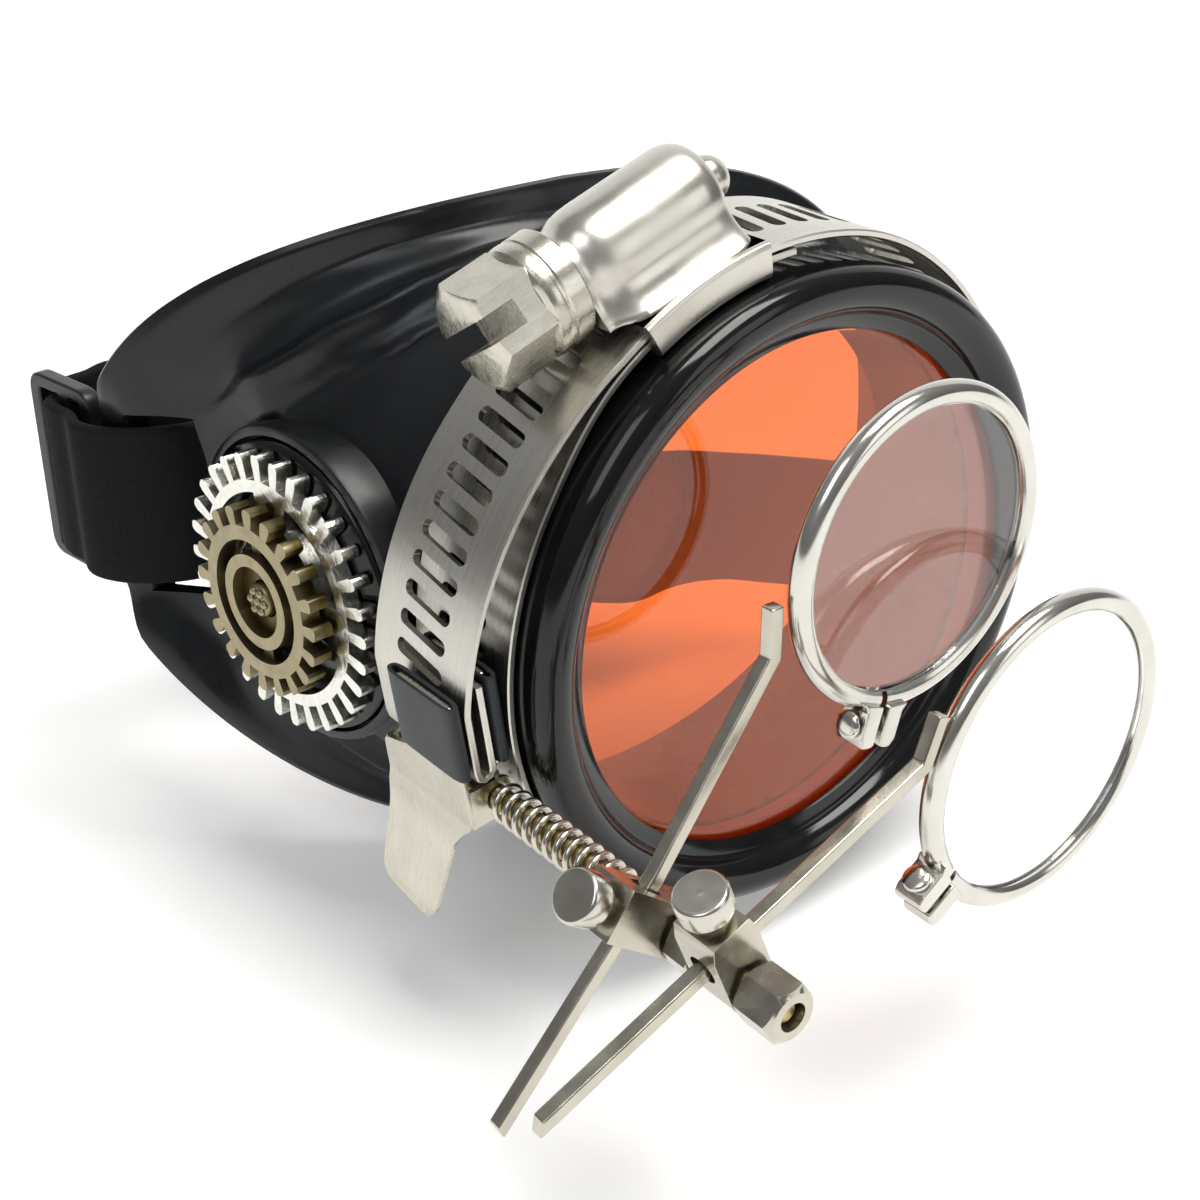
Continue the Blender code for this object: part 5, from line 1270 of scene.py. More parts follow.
dress(bronze, old_bronze, "cup", "gear_bronze", "bronze_gear")

# %% Rosette: a button, six petals and a bead
BUTTON_R = 0.00155
PETALS = 6
PETAL_R = 0.00042
PETAL_SPREAD = 0.00095
button_top = bronze_high - 0.00035
button_section = [(0, bronze_low), (BUTTON_R, bronze_low), (BUTTON_R, bronze_high - 0.0006)]
button_section += [(0.0013, button_top), (0, button_top)]
bm = bmesh.new()
bm.from_mesh(turned("button", button_section, 40))
for i in range(PETALS + 1):
    spread = PETAL_SPREAD if i < PETALS else 0
    place = Matrix.Translation((*polar(spread, TAU * i / PETALS), button_top))
    petal = bmesh.ops.create_uvsphere(bm, u_segments=16, v_segments=10, radius=PETAL_R)
    bmesh.ops.transform(bm, matrix=place @ Matrix.Diagonal((1, 1, 0.8, 1)), verts=petal["verts"])
rosette = stand("flower_button", mesh_from(bm, "flower_button"), GEAR_FRAME)
dress(rosette, old_bronze, "cup", "gear_bronze", "gear_rosette")

# %% [markdown]
# ## Spring clip
# The clip is folded from thin sheet. An outer blade carries the finger lever, an inner jaw
# faces it, and ears on both turn on the loupe shaft. The sheets are cut as flat outlines, sliced
# across where they bend, and then moved to their places, with the lever kicked outward below
# the pin.


# %% Sheets of the clip
def clip_spot(out, back, up):
    """A place in the world from the clip's own directions."""
    spot = clip_point(out, up)
    return Vector((spot.x, back, spot.y))


def round_corners(outline, radius, steps=5):
    """Replaces every corner of an outline with a small curve."""
    points = []
    for i, corner_spot in enumerate(outline):
        here = Vector(corner_spot)
        before = Vector(outline[i - 1]) - here
        after = Vector(outline[(i + 1) % len(outline)]) - here
        cut = min(radius, before.length / 2.1, after.length / 2.1)
        a = here + before.normalized() * cut
        b = here + after.normalized() * cut
        for k in range(steps + 1):
            t = k / steps
            points.append(tuple(a * (1 - t) ** 2 + here * 2 * t * (1 - t) + b * t ** 2))
    return points


def plate(name, outline, bend):
    """Sheet metal from a (back, up) outline; bend gives how far out the sheet stands."""
    bm = bmesh.new()
    bm.from_mesh(prism(name, outline, -PLATE_T / 2, PLATE_T / 2))
    for k in range(-24, 24):
        bmesh.ops.bisect_plane(
            bm, geom=bm.verts[:] + bm.edges[:] + bm.faces[:], plane_co=(0, k * 0.0005 + 0.0001, 0),
            plane_no=(0, 1, 0),
        )
    for vert in bm.verts:
        back, up, side = vert.co
        vert.co = clip_spot(bend(up, back) + side, back, up)
    return stand(name, mesh_from(bm, name))


def ear(name, outline, back):
    """An ear across the plate, from an (out, up) outline."""
    mesh = prism(name, outline, -PLATE_T / 2, PLATE_T / 2)
    for vert in mesh.vertices:
        out, up, side = vert.co
        vert.co = clip_spot(out, back + side, up)
    mesh.update()
    return stand(name, mesh)


# %% Outer blade with its finger lever
EAR_R = 0.00175
JAW_FRONT = 0.0009
JAW_REAR = 0.0086
LEVER_FRONT = 0.0009
LEVER_BACK = 0.0124
LEVER_TOP = 0.0099
LEVER_KNEE = 0.0026
LEVER_TIP = 0.0118
PIN_R = 0.00095
PIN_HOLE_R = 0.00115
span = LEVER_BACK - LEVER_FRONT
lever_outline = [
    (LEVER_FRONT, EAR_R), (JAW_FRONT, EAR_R * 1.5), (JAW_FRONT, LEVER_TOP), (JAW_REAR, LEVER_TOP),
    (JAW_REAR, EAR_R * 1.6), (LEVER_BACK, EAR_R), (LEVER_BACK + 0.0001, -EAR_R),
    (LEVER_BACK + span * 0.03, -LEVER_KNEE), (LEVER_BACK + span * 0.06, -0.0072),
    (LEVER_BACK + span * 0.065, -0.0104), (LEVER_BACK + span * 0.01, -0.0113),
    (LEVER_FRONT + span * 0.43, -LEVER_TIP), (LEVER_FRONT + span * 0.35, -0.0112),
    (LEVER_FRONT + span * 0.29, -0.0072), (LEVER_FRONT + span * 0.25, -0.0046),
    (LEVER_FRONT + span * 0.10, -LEVER_KNEE), (LEVER_FRONT, -EAR_R),
]


def lever_bend(up, back):
    """The lever kicks outward below the knee and is slightly dished for the finger."""
    below = max(0.0, -up - LEVER_KNEE + 0.0012)
    kick = 0.0030 * below ** 1.15 / (LEVER_TIP - LEVER_KNEE + 0.0012) ** 1.15
    across = (back - 0.0082) / 0.0050
    return outer_jaw_out + kick - 0.0005 * across * across * smooth_step(below / 0.0040)


blade = plate("finger_lever", round_corners(lever_outline, 0.0007), lever_bend)
round_ear = [(outer_jaw_out, EAR_R)] + [(-x, y) for x, y in circle(EAR_R, 13, math.pi / 2, -math.pi)]
round_ear += [(outer_jaw_out, -EAR_R)]
work(
    blade, "UNION", ear("front_ear", round_ear, LEVER_FRONT + PLATE_T * 0.6),
    ear("back_ear", round_ear, LEVER_BACK - PLATE_T * 0.6),
)
CLIP_FRAME = frame_at(Vector((pin.x, 0, pin.y)), -BACK, Vector((clip_out.x, 0, clip_out.y)))


def pin_bore():
    return extruded("pin_bore", circle(PIN_HOLE_R, 32), -LEVER_BACK - 0.002, 0.002, CLIP_FRAME)


work(blade, "DIFFERENCE", pin_bore())
ease_edges(blade, 0.00010, from_angle=40)
dress(blade, clip_nickel, "lever", "clip_nickel", "clip_lever")

# %% Inner jaw
jaw_front = LEVER_FRONT + 0.0008
jaw_back = LEVER_BACK - 0.0008
ear_low = EAR_R * 1.2
ear_high = EAR_R * 1.7
JAW_TOP = 0.0110
jaw_outline = [
    (jaw_front, ear_low), (jaw_front, JAW_TOP), (JAW_REAR, JAW_TOP), (JAW_REAR, ear_high),
    (jaw_back, ear_high), (jaw_back, ear_low),
]
jaw = plate("inner_jaw", round_corners(jaw_outline, 0.0003), lambda up, back: inner_jaw_out)
first_angle = -math.acos(inner_jaw_out / EAR_R)
jaw_ear = [(inner_jaw_out, ear_high - PLATE_T), (inner_jaw_out, ear_low)]
jaw_ear += circle(EAR_R, 14, first_angle, math.pi / 2 - first_angle)
jaw_ear += [(inner_jaw_out * 0.5, EAR_R), (inner_jaw_out * 0.5, ear_high - PLATE_T)]
work(
    jaw, "UNION", ear("jaw_ear_front", jaw_ear, jaw_front + PLATE_T * 0.6),
    ear("jaw_ear_back", jaw_ear, jaw_back - PLATE_T * 0.6),
)
work(jaw, "DIFFERENCE", pin_bore())
ease_edges(jaw, 0.00008, from_angle=40)
dress(jaw, clip_nickel, "cup", "clip_nickel", "clip_jaw")


# %% [markdown]
# ## Shrink sleeves
# A heat-shrink sleeve follows the plate but cannot make a sharp corner, so its section is a
# flattened tube with round edges, and its ends draw in a little. It is a double-walled tube:
# rings of points outside, the same rings inside.


# %% Sleeves
SLEEVE_SIDES = 48


def sleeve(name, out, low, high):
    """A flattened tube; each level is a share of its height and how full the wall is there."""
    thick = sleeve_t / 2
    middle = (JAW_FRONT + JAW_REAR) / 2
    wide = (JAW_REAR - JAW_FRONT) / 2 + PLATE_T / 2 + SLEEVE_GAP + SLEEVE_WALL
    levels = [
        (0, 0.9), (0.03, 0.98), (0.08, 1.0), (0.25, 1.0), (0.5, 1.0), (0.75, 1.0), (0.92, 1.0),
        (0.97, 0.99), (1, 0.93),
    ]

    def ring(up, grow):
        points = []
        for k in range(SLEEVE_SIDES):
            turn = TAU * k / SLEEVE_SIDES
            c, s = math.cos(turn), math.sin(turn)
            spread = wide - thick + grow
            x = (thick + grow) * signed_power(s, 0.75)
            y = spread * signed_power(c, 0.22) + thick * c * 0.98
            points.append(clip_spot(out + x, middle + y, up))
        return points

    bm = bmesh.new()
    rings = []
    for share, swell in levels:
        rings.append(
            [bm.verts.new(p) for p in ring(low + (high - low) * share, (swell - 1) * SLEEVE_WALL)]
        )
    for share, swell in reversed(levels):
        rings.append(
            [bm.verts.new(p) for p in ring(low + (high - low) * (0.004 + share * 0.992), -SLEEVE_WALL)]
        )
    skin(bm, rings, closed=True)
    return stand(name, mesh_from(bm, name))


sleeve_low = EAR_R * 1.6 + GAP * 2
dress(
    sleeve("outer_shrink", outer_jaw_out, sleeve_low, LEVER_TOP + GAP), shrink_tube, "lever",
    "sleeve_rubber", "outer_sleeve",
)
dress(
    sleeve("inner_shrink", inner_jaw_out, sleeve_low, JAW_TOP + GAP), shrink_tube, "cup", "sleeve_rubber",
    "inner_sleeve",
)

# %% [markdown]
# ## Shaft, springs and the parts threaded on it
# One shaft is both the clip's hinge pin and the post for the loupes. From back to front it
# carries the closing spring, the long friction spring, a shouldered washer, a block, a hexagon
# spacer, the second block and a nut with a domed end. The end of the brass shaft shows in the nut.


# %% Springs
def coil(radius, start_back, length, turns, per_turn=28):
    """Points of a coil about the pin, running forward."""
    points = []
    total = turns * per_turn
    for k in range(total + 1):
        angle = TAU * k / per_turn
        back = start_back - length * k / total
        points.append(Vector((pin.x + radius * math.cos(angle), back, pin.y + radius * math.sin(angle))))
    return points


TORSION_WIRE_R = 0.00025
torsion_back = jaw_back - PLATE_T - GAP - TORSION_WIRE_R * 2
torsion_front = jaw_front + PLATE_T + GAP + TORSION_WIRE_R * 2
torsion_r = PIN_R + TORSION_WIRE_R + GAP
closing = stand(
    "closing_coil",
    wire("closing_coil", coil(torsion_r, torsion_back, torsion_back - torsion_front, 5), TORSION_WIRE_R),
)
dress(closing, spring_wire, "cup", "spring_wire", "torsion_spring")
SPRING_WIRE_R = 0.00027
SPRING_BACK = 0.0001
SPRING_LENGTH = 0.0152
SPRING_R = 0.00142
friction = stand(
    "friction_coil", wire("friction_coil", coil(SPRING_R, SPRING_BACK, SPRING_LENGTH, 12), SPRING_WIRE_R)
)
dress(friction, spring_wire, "cup", "spring_wire", "friction_spring")

# %% Shaft, washer, spacer and nut; forward is -Y
BLOCK_DEPTH = 0.0040
block_1_y = -0.0190
block_2_y = -0.0261
spacer_back = block_1_y - BLOCK_DEPTH / 2 - GAP
SPACER_L = 0.0025
nut_back = block_2_y - BLOCK_DEPTH / 2 - GAP
NUT_L = 0.0035
shaft_front = -(nut_back - NUT_L + GAP * 2)
SHAFT_REAR = 0.0131
SHAFT_FRAME = frame_at(Vector((pin.x, 0, pin.y)), -BACK, ACROSS)
HEAD_R = 0.0015
HEAD_T = 0.0006
shaft_section = [
    (0, -SHAFT_REAR - HEAD_T), (0.0010, -SHAFT_REAR - HEAD_T), (0.0014, -SHAFT_REAR - 0.00045),
    (HEAD_R, -SHAFT_REAR - 0.0002), (HEAD_R, -SHAFT_REAR), (PIN_R, -SHAFT_REAR),
    (PIN_R, shaft_front - 0.0004), (PIN_R * 0.75, shaft_front), (0, shaft_front),
]
shaft = lathed("brass_post", shaft_section, 40, SHAFT_FRAME)
dress(shaft, shaft_brass, "cup", "shaft_brass", "loupe_shaft")
washer_back = SPRING_BACK - SPRING_LENGTH - SPRING_WIRE_R - GAP
collar_end = -(block_1_y + BLOCK_DEPTH / 2 + GAP)
SHAFT_HOLE_R = 0.0011
WASHER_R = 0.0019
WASHER_T = 0.0005
COLLAR_R = 0.0015
washer_front = -washer_back + WASHER_T
washer_section = [
    (SHAFT_HOLE_R, -washer_back), (WASHER_R - 0.0001, -washer_back), (WASHER_R, -washer_back + 0.0001),
    (WASHER_R, washer_front - 0.0001), (WASHER_R - 0.0001, washer_front),
    (COLLAR_R + 0.00005, washer_front), (COLLAR_R, collar_end), (SHAFT_HOLE_R, collar_end),
]
washer = lathed("shouldered_washer", washer_section, 48, SHAFT_FRAME, closed=True)
dress(washer, satin_nickel, "cup", "loupe_nickel", "shaft_washer")

HEX_W = 0.0040


def hexagon_piece(name, across, back, length, front_chamfer):
    """A hexagon bar with turned ends and a bore."""
    corner_r = across / math.sqrt(3)
    flat_r = across / 2
    bar = extruded(name, circle(corner_r, 6), -back, -back + length, SHAFT_FRAME)
    envelope = [
        (0, -back), (flat_r, -back), (corner_r + 0.0001, -back + 0.0002),
        (corner_r + 0.0001, -back + length - front_chamfer), (flat_r * 0.9, -back + length),
        (0, -back + length),
    ]
    work(bar, "INTERSECT", lathed("envelope", envelope, 72, SHAFT_FRAME))
    work(
        bar, "DIFFERENCE",
        extruded("bore", circle(SHAFT_HOLE_R, 32), -back - 0.001, -back + length + 0.001, SHAFT_FRAME),
    )
    return ease_edges(bar, 0.00008, from_angle=25)


dress(
    hexagon_piece("hexagon_spacer", HEX_W, spacer_back, SPACER_L, 0.0002), satin_nickel, "cup",
    "loupe_nickel", "hex_spacer",
)
dress(
    hexagon_piece("hexagon_nut", HEX_W, nut_back, NUT_L, 0.0006), satin_nickel, "nut", "loupe_nickel",
    "shaft_nut",
)

# %% [markdown]
# ## Pivot blocks and thumb screws
# Each loupe arm slides through a small block, where a thumb screw pinches it. The first block is
# square; the second narrows towards its screw and is round at its heel. Both are cut from bar,
# so they have flat faces, crisp but slightly broken edges, and drilled holes.

# %% Blocks
BLOCK_W = 0.0040
BLOCK_HEAD = 0.0033
BLOCK_HEEL = 0.0019
ROD_SIDE = 0.00115
ROD_HOLE_R = 0.00115
THUMB_HOLE_R = 0.00095
BLOCK_1_TURN = math.radians(-36.9)
BLOCK_2_TURN = math.radians(-68.0)
ROD_1_OFFSET = 0.0038
ROD_2_OFFSET = 0.0026


def pivot_block(name, y, turn, rod_offset, heel_round):
    """X runs from the thumb screw to the shaft, Y along the arm and Z forward."""
    matrix = frame_at(Vector((pin.x, y, pin.y)), -BACK, Vector((math.cos(turn), 0, math.sin(turn))))
    head_end = -(rod_offset + BLOCK_HEAD)
    half_w = BLOCK_W / 2
    if heel_round:
        outline = [(head_end, -half_w * 0.82), (head_end + 0.0012, -half_w)]
        outline += [(BLOCK_HEEL * x, half_w * y) for x, y in circle(1.0, 21, -math.pi / 2, math.pi)]
        outline += [(head_end + 0.0012, half_w), (head_end, half_w * 0.82)]
    else:
        outline = rectangle(head_end, BLOCK_HEEL, -half_w, half_w)
    block = extruded(name, outline, -BLOCK_DEPTH / 2, BLOCK_DEPTH / 2, matrix)
    shaft_bore = extruded("bore", circle(SHAFT_HOLE_R, 32), -BLOCK_DEPTH, BLOCK_DEPTH, matrix)
    rod_place = matrix @ Matrix.Translation((-rod_offset, 0, 0)) @ Matrix.Rotation(math.pi / 2, 4, "X")
    rod_bore = extruded("bore", circle(ROD_HOLE_R, 32), -BLOCK_W, BLOCK_W, rod_place)
    thumb_place = matrix @ Matrix.Translation((head_end, 0, 0)) @ Matrix.Rotation(-math.pi / 2, 4, "Y")
    thumb_bore = extruded("bore", circle(THUMB_HOLE_R, 32), -BLOCK_HEAD, 0.002, thumb_place)
    work(block, "DIFFERENCE", shaft_bore, rod_bore, thumb_bore)
    return ease_edges(block, 0.00014), thumb_place


block_1, thumb_1_place = pivot_block("square_block", block_1_y, BLOCK_1_TURN, ROD_1_OFFSET, False)
block_2, thumb_2_place = pivot_block("rounded_block", block_2_y, BLOCK_2_TURN, ROD_2_OFFSET, True)
dress(block_1, satin_nickel, "block_1", "loupe_nickel", "arm_block_1")
dress(block_2, satin_nickel, "block_2", "loupe_nickel", "arm_block_2")

# %% Thumb screws: shallow rings are left on the face by the lathe
THUMB_R = 0.0020
THUMB_L = 0.0024
thumb_reach = -(BLOCK_HEAD - ROD_SIDE / 2 - GAP)
head = 0.00065
thumb_section = [
    (0, thumb_reach), (0.0006, thumb_reach), (0.0008, thumb_reach + 0.0002), (0.0008, head),
    (0.00155, head), (0.00172, head + 0.00012), (0.00182, head + 0.0004), (0.00192, head + 0.00052),
    (THUMB_R, head + 0.0007), (THUMB_R, head + THUMB_L - 0.0002), (THUMB_R - 0.00018, head + THUMB_L),
]
for k in range(10):
    drop = 0.00006 * k / 9 + (0.000025 if k % 2 else 0)
    thumb_section.append((THUMB_R * (0.86 - 0.085 * k), head + THUMB_L - drop))
thumb_section.append((0, head + THUMB_L - 0.00009))
for number, place in ((1, thumb_1_place), (2, thumb_2_place)):
    thumb = stand(f"turned_thumb_screw_{number}", turned("turned_thumb_screw", thumb_section, 64), place)
    dress(thumb, turned_nickel, f"thumb_{number}", "loupe_nickel", f"thumb_screw_{number}")

# %% [markdown]
# ## Loupe arms
# Each arm is square bar, bent so that its last few millimetres lie along the rim, where they are
# brazed on. The free end is cut off at a slant. The bar's edges are rounded by drawing and
# catch a thin bright line, which says more about the size of the arm than its faces do.


# %% Arms
def square_bar(name, points, y, slant):
    """Square bar through (x, z) points, with mitred bends and a slanted free end."""
    sides = ([], [])
    for i, point in enumerate(points):
        before = (point - points[i - 1]).normalized() if i > 0 else None
        after = (points[i + 1] - point).normalized() if i < len(points) - 1 else None
        ways = [way for way in (before, after) if way is not None]
        mean = sum(ways, Vector((0, 0))).normalized()
        normal = Vector((-mean.y, mean.x))
        stretch = 1 / normal.dot(Vector((-ways[0].y, ways[0].x)))
        for row, sign in zip(sides, (1, -1)):
            spot = point + normal * (sign * stretch * ROD_SIDE / 2)
            if i == 0:
                spot += mean * (slant * (1 + sign) / 2)
            row.append((spot.x, spot.y))
    matrix = frame_at(Vector((0, y, 0)), -BACK, ACROSS)
    bar = extruded(name, sides[0] + sides[1][::-1], -ROD_SIDE / 2, ROD_SIDE / 2, matrix)
    return ease_edges(bar, 0.00016, segments=3)


def tab_ends(rim_centre, rim_radius, touch, low, high):
    """The two ends of the tab that lies along the rim where it touches."""
    out = ray(touch)
    along = Vector((out.y, -out.x))
    if along.y < 0:
        along = -along
    middle = rim_centre + out * (rim_radius + GAP + ROD_SIDE / 2)
    return middle + along * low, middle + along * high


RIM_1_R = 0.0124
RIM_2_R = 0.0131
TAB_L = 0.0039
rim_1_centre = pin + Vector((0.0223, 0.0227))
rim_2_centre = pin + Vector((0.0309, 0.0057))
hole_1 = pin - ray(BLOCK_1_TURN, ROD_1_OFFSET)
hole_2 = pin - ray(BLOCK_2_TURN, ROD_2_OFFSET)
low_1, high_1 = tab_ends(rim_1_centre, RIM_1_R, math.pi, -TAB_L * 1.15, -TAB_L * 0.15)
low_2, high_2 = tab_ends(rim_2_centre, RIM_2_R, math.radians(160), -TAB_L * 0.23, TAB_L * 0.77)
ARM_1_WAY = ray(math.radians(47.3))
ARM_2_WAY = ray(math.radians(22.0))
arm_1 = square_bar(
    "bent_bar_1", [hole_1 - ARM_1_WAY * 0.0177, hole_1 + ARM_1_WAY * 0.0029, low_1, high_1], block_1_y,
    0.0005,
)
arm_2 = square_bar("bent_bar_2", [hole_2 - ARM_2_WAY * 0.0172, low_2, high_2], block_2_y, 0.0007)
dress(arm_1, satin_nickel, "loupe_1", "loupe_nickel", "arm_1")
dress(arm_2, satin_nickel, "loupe_2", "loupe_nickel", "arm_2")

# %% [markdown]
# ## Rims, screws and loupe lenses
# A rim is half-round wire with a groove inside for the lens, bent into a ring and left open. Two
# lugs are brazed on either side of the opening and a tiny screw draws them together. The
# lenses are almost flat, so that what lies behind them stays clear and nearly undistorted.

# %% Rims
RIM_SECTION_R = 0.0009
RIM_GROOVE_W = 0.0010
RIM_GROOVE_DEPTH = 0.0005
SLIT = 0.0006
LUG_T = 0.0016
LUG_H = 0.0028
LUG_DEPTH = 0.0026
LUG_ROOT = 0.0006
RIM_BORE_R = 0.0007
RIM_SCREW_R = 0.0005
RIM_HEAD_R = 0.0011
RIM_HEAD_H = 0.0003
GLASS_EDGE = 0.00032
GLASS_DOME = 0.00014


def rim_wire(name, radius, turn):
    """The open ring; its slit faces along local X."""
    middle = radius - RIM_SECTION_R
    inner = middle - RIM_SECTION_R
    half_groove = RIM_GROOVE_W / 2
    section = [polar(RIM_SECTION_R, math.radians(-146 + 292 * k / 24), middle) for k in range(25)]
    section += [(inner + 0.00018, half_groove), (inner + RIM_GROOVE_DEPTH, half_groove)]
    section += [(inner + RIM_GROOVE_DEPTH, -half_groove), (inner + 0.00018, -half_groove)]
    slit_half = SLIT / 2 / middle
    bm = bmesh.new()
    slices = []
    for k in range(145):
        angle = slit_half + (TAU - 2 * slit_half) * k / 144
        slices.append([bm.verts.new((*polar(r, angle), z)) for r, z in section])
    skin(bm, slices)
    return stand(name, mesh_from(bm, name, 40), turn)


def lug(radius, side, turn):
    """One lug beside the slit: a block with a rounded outer end and a soft shoulder."""
    low = radius - LUG_ROOT
    tip = radius + LUG_H - 0.0004
    middle = (SLIT + LUG_T) / 2
    outline = [(low, SLIT / 2), (tip, SLIT / 2)]
    outline += [(tip + 0.0003 * math.sin(t), middle - LUG_T / 2 * math.cos(t)) for t in (0.7, 1.4, 2.1)]
    outline += [(radius + LUG_H * 0.72, SLIT / 2 + LUG_T), (low + 0.0004, SLIT / 2 + LUG_T)]
    outline += [(low - 0.0002, SLIT / 2 + LUG_T * 1.25)]
    outline = [(x, side * y) for x, y in outline]
    made = extruded("lug", outline, -LUG_DEPTH / 2, LUG_DEPTH / 2, turn)
    return ease_edges(made, 0.00035, segments=4)


def loupe_rim(number, centre, radius, y, lug_angle):
    """Rim, closing screw and lens, centred on the loupe; y is the arm's depth."""
    matrix = frame_at(Vector((centre.x, y, centre.y)), -BACK, ACROSS)
    sense = 1 if (matrix.to_3x3() @ BACK).z > 0 else -1
    turn = matrix @ Matrix.Rotation(sense * lug_angle, 4, "Z")
    ring = rim_wire(f"grooved_rim_{number}", radius, turn)
    work(ring, "UNION", lug(radius, 1, turn), lug(radius, -1, turn))
    screw_place = turn @ Matrix.Translation(
        (radius - 0.0004 + LUG_H * 0.55, 0, 0)
    ) @ Matrix.Rotation(-math.pi / 2, 4, "X")
    if (screw_place.to_3x3() @ UP).x > 0:
        screw_place = screw_place @ Matrix.Rotation(math.pi, 4, "X")
    work(ring, "DIFFERENCE", extruded("bore", circle(RIM_BORE_R, 24), -LUG_H, LUG_H, screw_place))
    ring.data.shade_smooth()
    ring.data.set_sharp_from_angle(angle=math.radians(40))
    dress(ring, bright_nickel, f"loupe_{number}", "rim_nickel", f"rim_{number}")
    head = SLIT / 2 + LUG_T + 0.00015
    section = [
        (0, -head), (RIM_SCREW_R - 0.0001, -head), (RIM_SCREW_R, -head + 0.0001), (RIM_SCREW_R, head),
        (RIM_HEAD_R - 0.0001, head), (RIM_HEAD_R, head + 0.0001), (RIM_HEAD_R, head + RIM_HEAD_H),
    ]
    for t in (0.4, 0.8, 1.2):
        section.append((RIM_HEAD_R * math.cos(t), head + RIM_HEAD_H * (1 + math.sin(t))))
    section.append((0, head + 2 * RIM_HEAD_H))
    closing_screw = stand(f"closing_screw_{number}", turned("closing_screw", section, 32), screw_place)
    dress(closing_screw, bright_nickel, f"closing_{number}", "rim_nickel", f"rim_screw_{number}")
    edge = radius - 2 * RIM_SECTION_R + RIM_GROOVE_DEPTH - 0.0001
    dome = [(edge * k / 16, GLASS_EDGE + GLASS_DOME * (1 - (k / 16) ** 2)) for k in range(17)]
    glass_section = [(r, -z) for r, z in dome] + dome[::-1]
    glass = stand(f"ground_lens_{number}", turned("ground_lens", glass_section, 96), matrix)
    dress(glass, loupe_glass, f"loupe_{number}", "loupe_glass", f"loupe_lens_{number}")


loupe_rim(1, rim_1_centre, RIM_1_R, block_1_y - 0.0008, math.radians(-106))
loupe_rim(2, rim_2_centre, RIM_2_R, block_2_y - 0.0003, math.radians(-147))

# %% [markdown]
# ## Strap and slider
# The strap is flat elastic webbing: out through the slot in the temple wall, over two bars of
# the slider and under the third, and on behind the cup, where it hangs lower and twists. That
# part shows through the lens as a dark band. It is modelled directly as a band with round edges
# that follows a smooth path; each spot of the path also has a drop and a twist. Its length and
# width are kept as texture coordinates, so that the weave runs along it round every bend.

# %% Strap
STRAP_W = 0.0155
STRAP_T = 0.0012
SLIDER_W = 0.0100
SLIDER_H = 0.0188
SLIDER_T = 0.0016
SLIDER_BAR = 0.0017
SLIDER_LEAN = math.radians(8.6)
strap_y = SLOT_Y + 0.0005
wall_x = cup_point(-math.pi, (strap_y - NECK_Y) / (TEMPLE_DEPTH - NECK_Y), 0).x
rim_x = cup_point(-math.pi, 1.0, 0).x
strap_off = STRAP_T / 2 + GAP
slider_way = Vector((-math.sin(SLIDER_LEAN), math.cos(SLIDER_LEAN)))
slider_out = Vector((-slider_way.y, slider_way.x))
slider_spot = Vector((rim_x + STRAP_T / 2, TEMPLE_DEPTH + SLIDER_W * 0.6))
slider_lift = SLIDER_T / 2 + strap_off


def beside_slider(along, out):
    return slider_spot + slider_way * along + slider_out * out


strap_route = [
    beside_slider(-SLIDER_BAR * 0.5, -slider_lift),
    beside_slider(-SLIDER_W * 0.42, -slider_lift - STRAP_T * 0.6),
    Vector((rim_x + CUP_WALL + strap_off * 2.8, TEMPLE_DEPTH - STRAP_T)),
    Vector((wall_x + CUP_WALL + strap_off * 2.6, strap_y + STRAP_T * 2.8)),
    Vector((wall_x + CUP_WALL + strap_off * 3.6, strap_y + STRAP_T)),
    Vector((wall_x + CUP_WALL + strap_off * 1.2, strap_y - STRAP_T * 0.4)),
    Vector((wall_x + CUP_WALL / 4, strap_y - STRAP_T * 0.35)),
    Vector((wall_x - strap_off * 2.8, strap_y + STRAP_T * 0.8)),
    Vector((wall_x + (rim_x - wall_x) * 0.6 - strap_off * 2.2, strap_y + (TEMPLE_DEPTH - strap_y) * 0.5)),
    Vector((rim_x - strap_off * 1.4, TEMPLE_DEPTH - STRAP_T * 0.3)),
    beside_slider(-SLIDER_W * 0.33, slider_lift * 1.1),
    beside_slider(-SLIDER_BAR * 0.6, slider_lift * 1.05),
    beside_slider(SLIDER_W * 0.075, slider_lift * 0.78),
    beside_slider(SLIDER_W * 0.165, 0),
    beside_slider(SLIDER_W * 0.255, -slider_lift * 0.78),
    beside_slider(SLIDER_W * 0.42, -slider_lift * 1.1),
    slider_spot + Vector((STRAP_T * 3.4, SLIDER_W / 2 + STRAP_T * 0.2)),
    slider_spot + Vector((STRAP_T * 7, SLIDER_W / 2 + STRAP_T * 0.6)),
]
strap_route = [Vector((*spot, 0, 0)) for spot in strap_route]
for side_share, depth_share, drop_share, twist in (
    (-0.58, 1.18, 0.26, 15), (-0.30, 1.11, 0.68, 40), (0.15, 0.99, 1.10, 64), (0.41, 0.885, 1.16, 58),
    (0.61, 0.815, 1.04, 15), (0.76, 0.755, 1.03, 0), (0.90, 0.675, 1.05, 0), (1.07, 0.57, 1.08, 0),
):
    strap_route.append(
        Vector(
            (
                CUP_HALF_WIDTH * side_share, TEMPLE_DEPTH * depth_share, -STRAP_W * drop_share,
                math.radians(twist),
            )
        )
    )


def smooth_route(points, per_span=14):
    """Catmull-Rom points through the route."""
    padded = [points[0] * 2 - points[1]] + points + [points[-1] * 2 - points[-2]]
    out = []
    for a, b, c, d in zip(padded, padded[1:], padded[2:], padded[3:]):
        for k in range(per_span):
            t = k / per_span
            bend = a * 2 - b * 5 + c * 4 - d
            twist = b * 3 - a - c * 3 + d
            out.append((b * 2 + (c - a) * t + bend * t * t + twist * t ** 3) / 2)
    return out + [points[-1]]


strap_line = smooth_route(strap_route)
edge_round = STRAP_T / 2


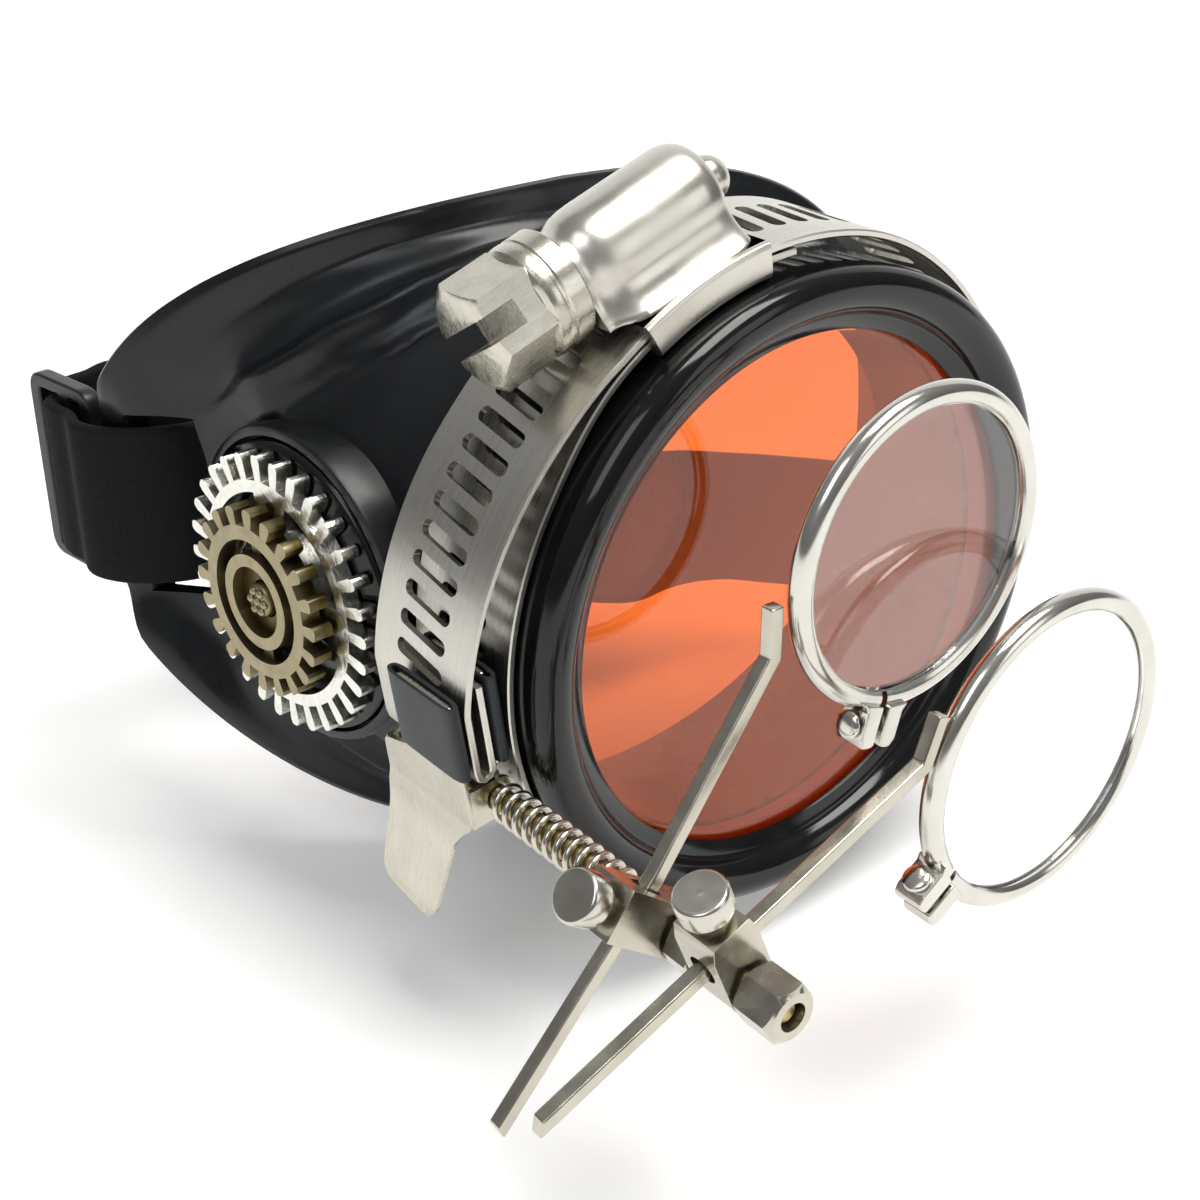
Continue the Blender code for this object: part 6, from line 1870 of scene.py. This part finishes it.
def strap_edge(first, middle):
    """A quarter of the rounded edge; the first angle is in degrees from the strap's top."""
    angles = [math.radians(a) for a in range(first, first + 91, 15)]
    return [(edge_round * math.sin(t), middle + edge_round * math.cos(t)) for t in angles]


webbing = strap_edge(0, STRAP_W / 2 - edge_round)
webbing += [(edge_round * 0.985, y) for y in (STRAP_W * 0.3, 0, -STRAP_W * 0.3)]
webbing += strap_edge(90, edge_round - STRAP_W / 2)
webbing += [(-x, y) for x, y in reversed(webbing[1:-1])]
bm = bmesh.new()
weave_map = bm.loops.layers.uv.new("weave")
along = 0.0
rows = []
for i, point in enumerate(strap_line):
    if i > 0:
        along += (point.xyz - strap_line[i - 1].xyz).length
    way = strap_line[min(i + 1, len(strap_line) - 1)] - strap_line[max(i - 1, 0)]
    normal = Vector((-way.y, way.x, 0)).normalized()
    across = normal * math.sin(point.w) + UP * math.cos(point.w)
    through = normal * math.cos(point.w) - UP * math.sin(point.w)
    middle = Vector((point.x, point.y, STRAP_Z + point.z))
    rows.append((along, [bm.verts.new(middle + through * x + across * z) for x, z in webbing]))
for (start, one), (end, other) in zip(rows, rows[1:]):
    for k in range(len(webbing)):
        n = (k + 1) % len(webbing)
        face = bm.faces.new((one[k], other[k], other[n], one[n]))
        for loop, spot in zip(
            face.loops,
            ((start, webbing[k][1]), (end, webbing[k][1]), (end, webbing[n][1]), (start, webbing[n][1])),
        ):
            loop[weave_map].uv = spot
bm.faces.new(rows[0][1])
bm.faces.new(rows[-1][1][::-1])
webbing_piece = stand("elastic_webbing", mesh_from(bm, "elastic_webbing"))
dress(webbing_piece, woven_elastic, "cup", "strap_fabric", "strap")
print("strap length", round(along * 1000, 1), "mm")

# %% Slider: a flat plate with three rounded bars
SLIDER_FRAME = frame_at(
    Vector((*slider_spot, STRAP_Z)), Vector((*slider_out, 0)), Vector((*slider_way, 0))
)
plate_outline = rectangle(-SLIDER_W / 2, SLIDER_W / 2, -SLIDER_H / 2, SLIDER_H / 2)
plate_outline = round_corners(plate_outline, 0.0020, 8)
strap_room = STRAP_W / 2 + GAP
slider_plate = extruded("moulded_slider", plate_outline, -SLIDER_T / 2, SLIDER_T / 2, SLIDER_FRAME)
passages = []
for start, end in ((SLIDER_BAR - SLIDER_W / 2, -SLIDER_BAR), (0, SLIDER_W / 2 - SLIDER_BAR)):
    opening = round_corners(rectangle(start, end, -strap_room, strap_room), 0.0004)
    passages.append(extruded("passage", opening, -SLIDER_T, SLIDER_T, SLIDER_FRAME))
work(slider_plate, "DIFFERENCE", *passages)
ease_edges(slider_plate, 0.00035, segments=4)
dress(slider_plate, black_nylon, "cup", "slider_plastic", "strap_slider")

# %% [markdown]
# ## Finishes on the imported parts
# Each imported part listed here gets its finish too; every one of them is hidden, as a finer piece stands
# for it.

# %% Give every imported part its finish
part_finishes = {
    "goggle_cup": vinyl, "vent_cap": vinyl, "retaining_ring": ring_abs, "lens_gasket": seat_silicone,
    "main_lens": lens_orange, "clamp_band": strip_steel, "clamp_housing": pressed_steel,
    "clamp_saddle": pressed_steel, "worm_screw": cut_steel, "clip_lever": clip_nickel,
    "clip_jaw": clip_nickel, "outer_sleeve": shrink_tube, "inner_sleeve": shrink_tube,
    "torsion_spring": spring_wire, "friction_spring": spring_wire, "loupe_shaft": shaft_brass,
    "shaft_washer": satin_nickel, "hex_spacer": satin_nickel, "shaft_nut": satin_nickel,
    "arm_block_1": satin_nickel, "arm_block_2": satin_nickel, "arm_1": satin_nickel,
    "arm_2": satin_nickel, "thumb_screw_1": bright_nickel, "thumb_screw_2": bright_nickel,
    "rim_1": bright_nickel, "rim_2": bright_nickel, "rim_screw_1": bright_nickel,
    "rim_screw_2": bright_nickel, "loupe_lens_1": loupe_glass, "loupe_lens_2": loupe_glass,
    "silver_gear": silver_plate, "bronze_gear": old_bronze, "gear_rosette": old_bronze,
    "strap": woven_elastic, "strap_slider": black_nylon,
}
for name, finish in part_finishes.items():
    for holder in nodes[name].material_slots:
        holder.material = finish

# %% [markdown]
# ## Box of the imported model
# The box of the imported model is printed.

# %% Size of the imported model
print("packed box", [round(v * 1000, 2) for corner in cad_box for v in corner])
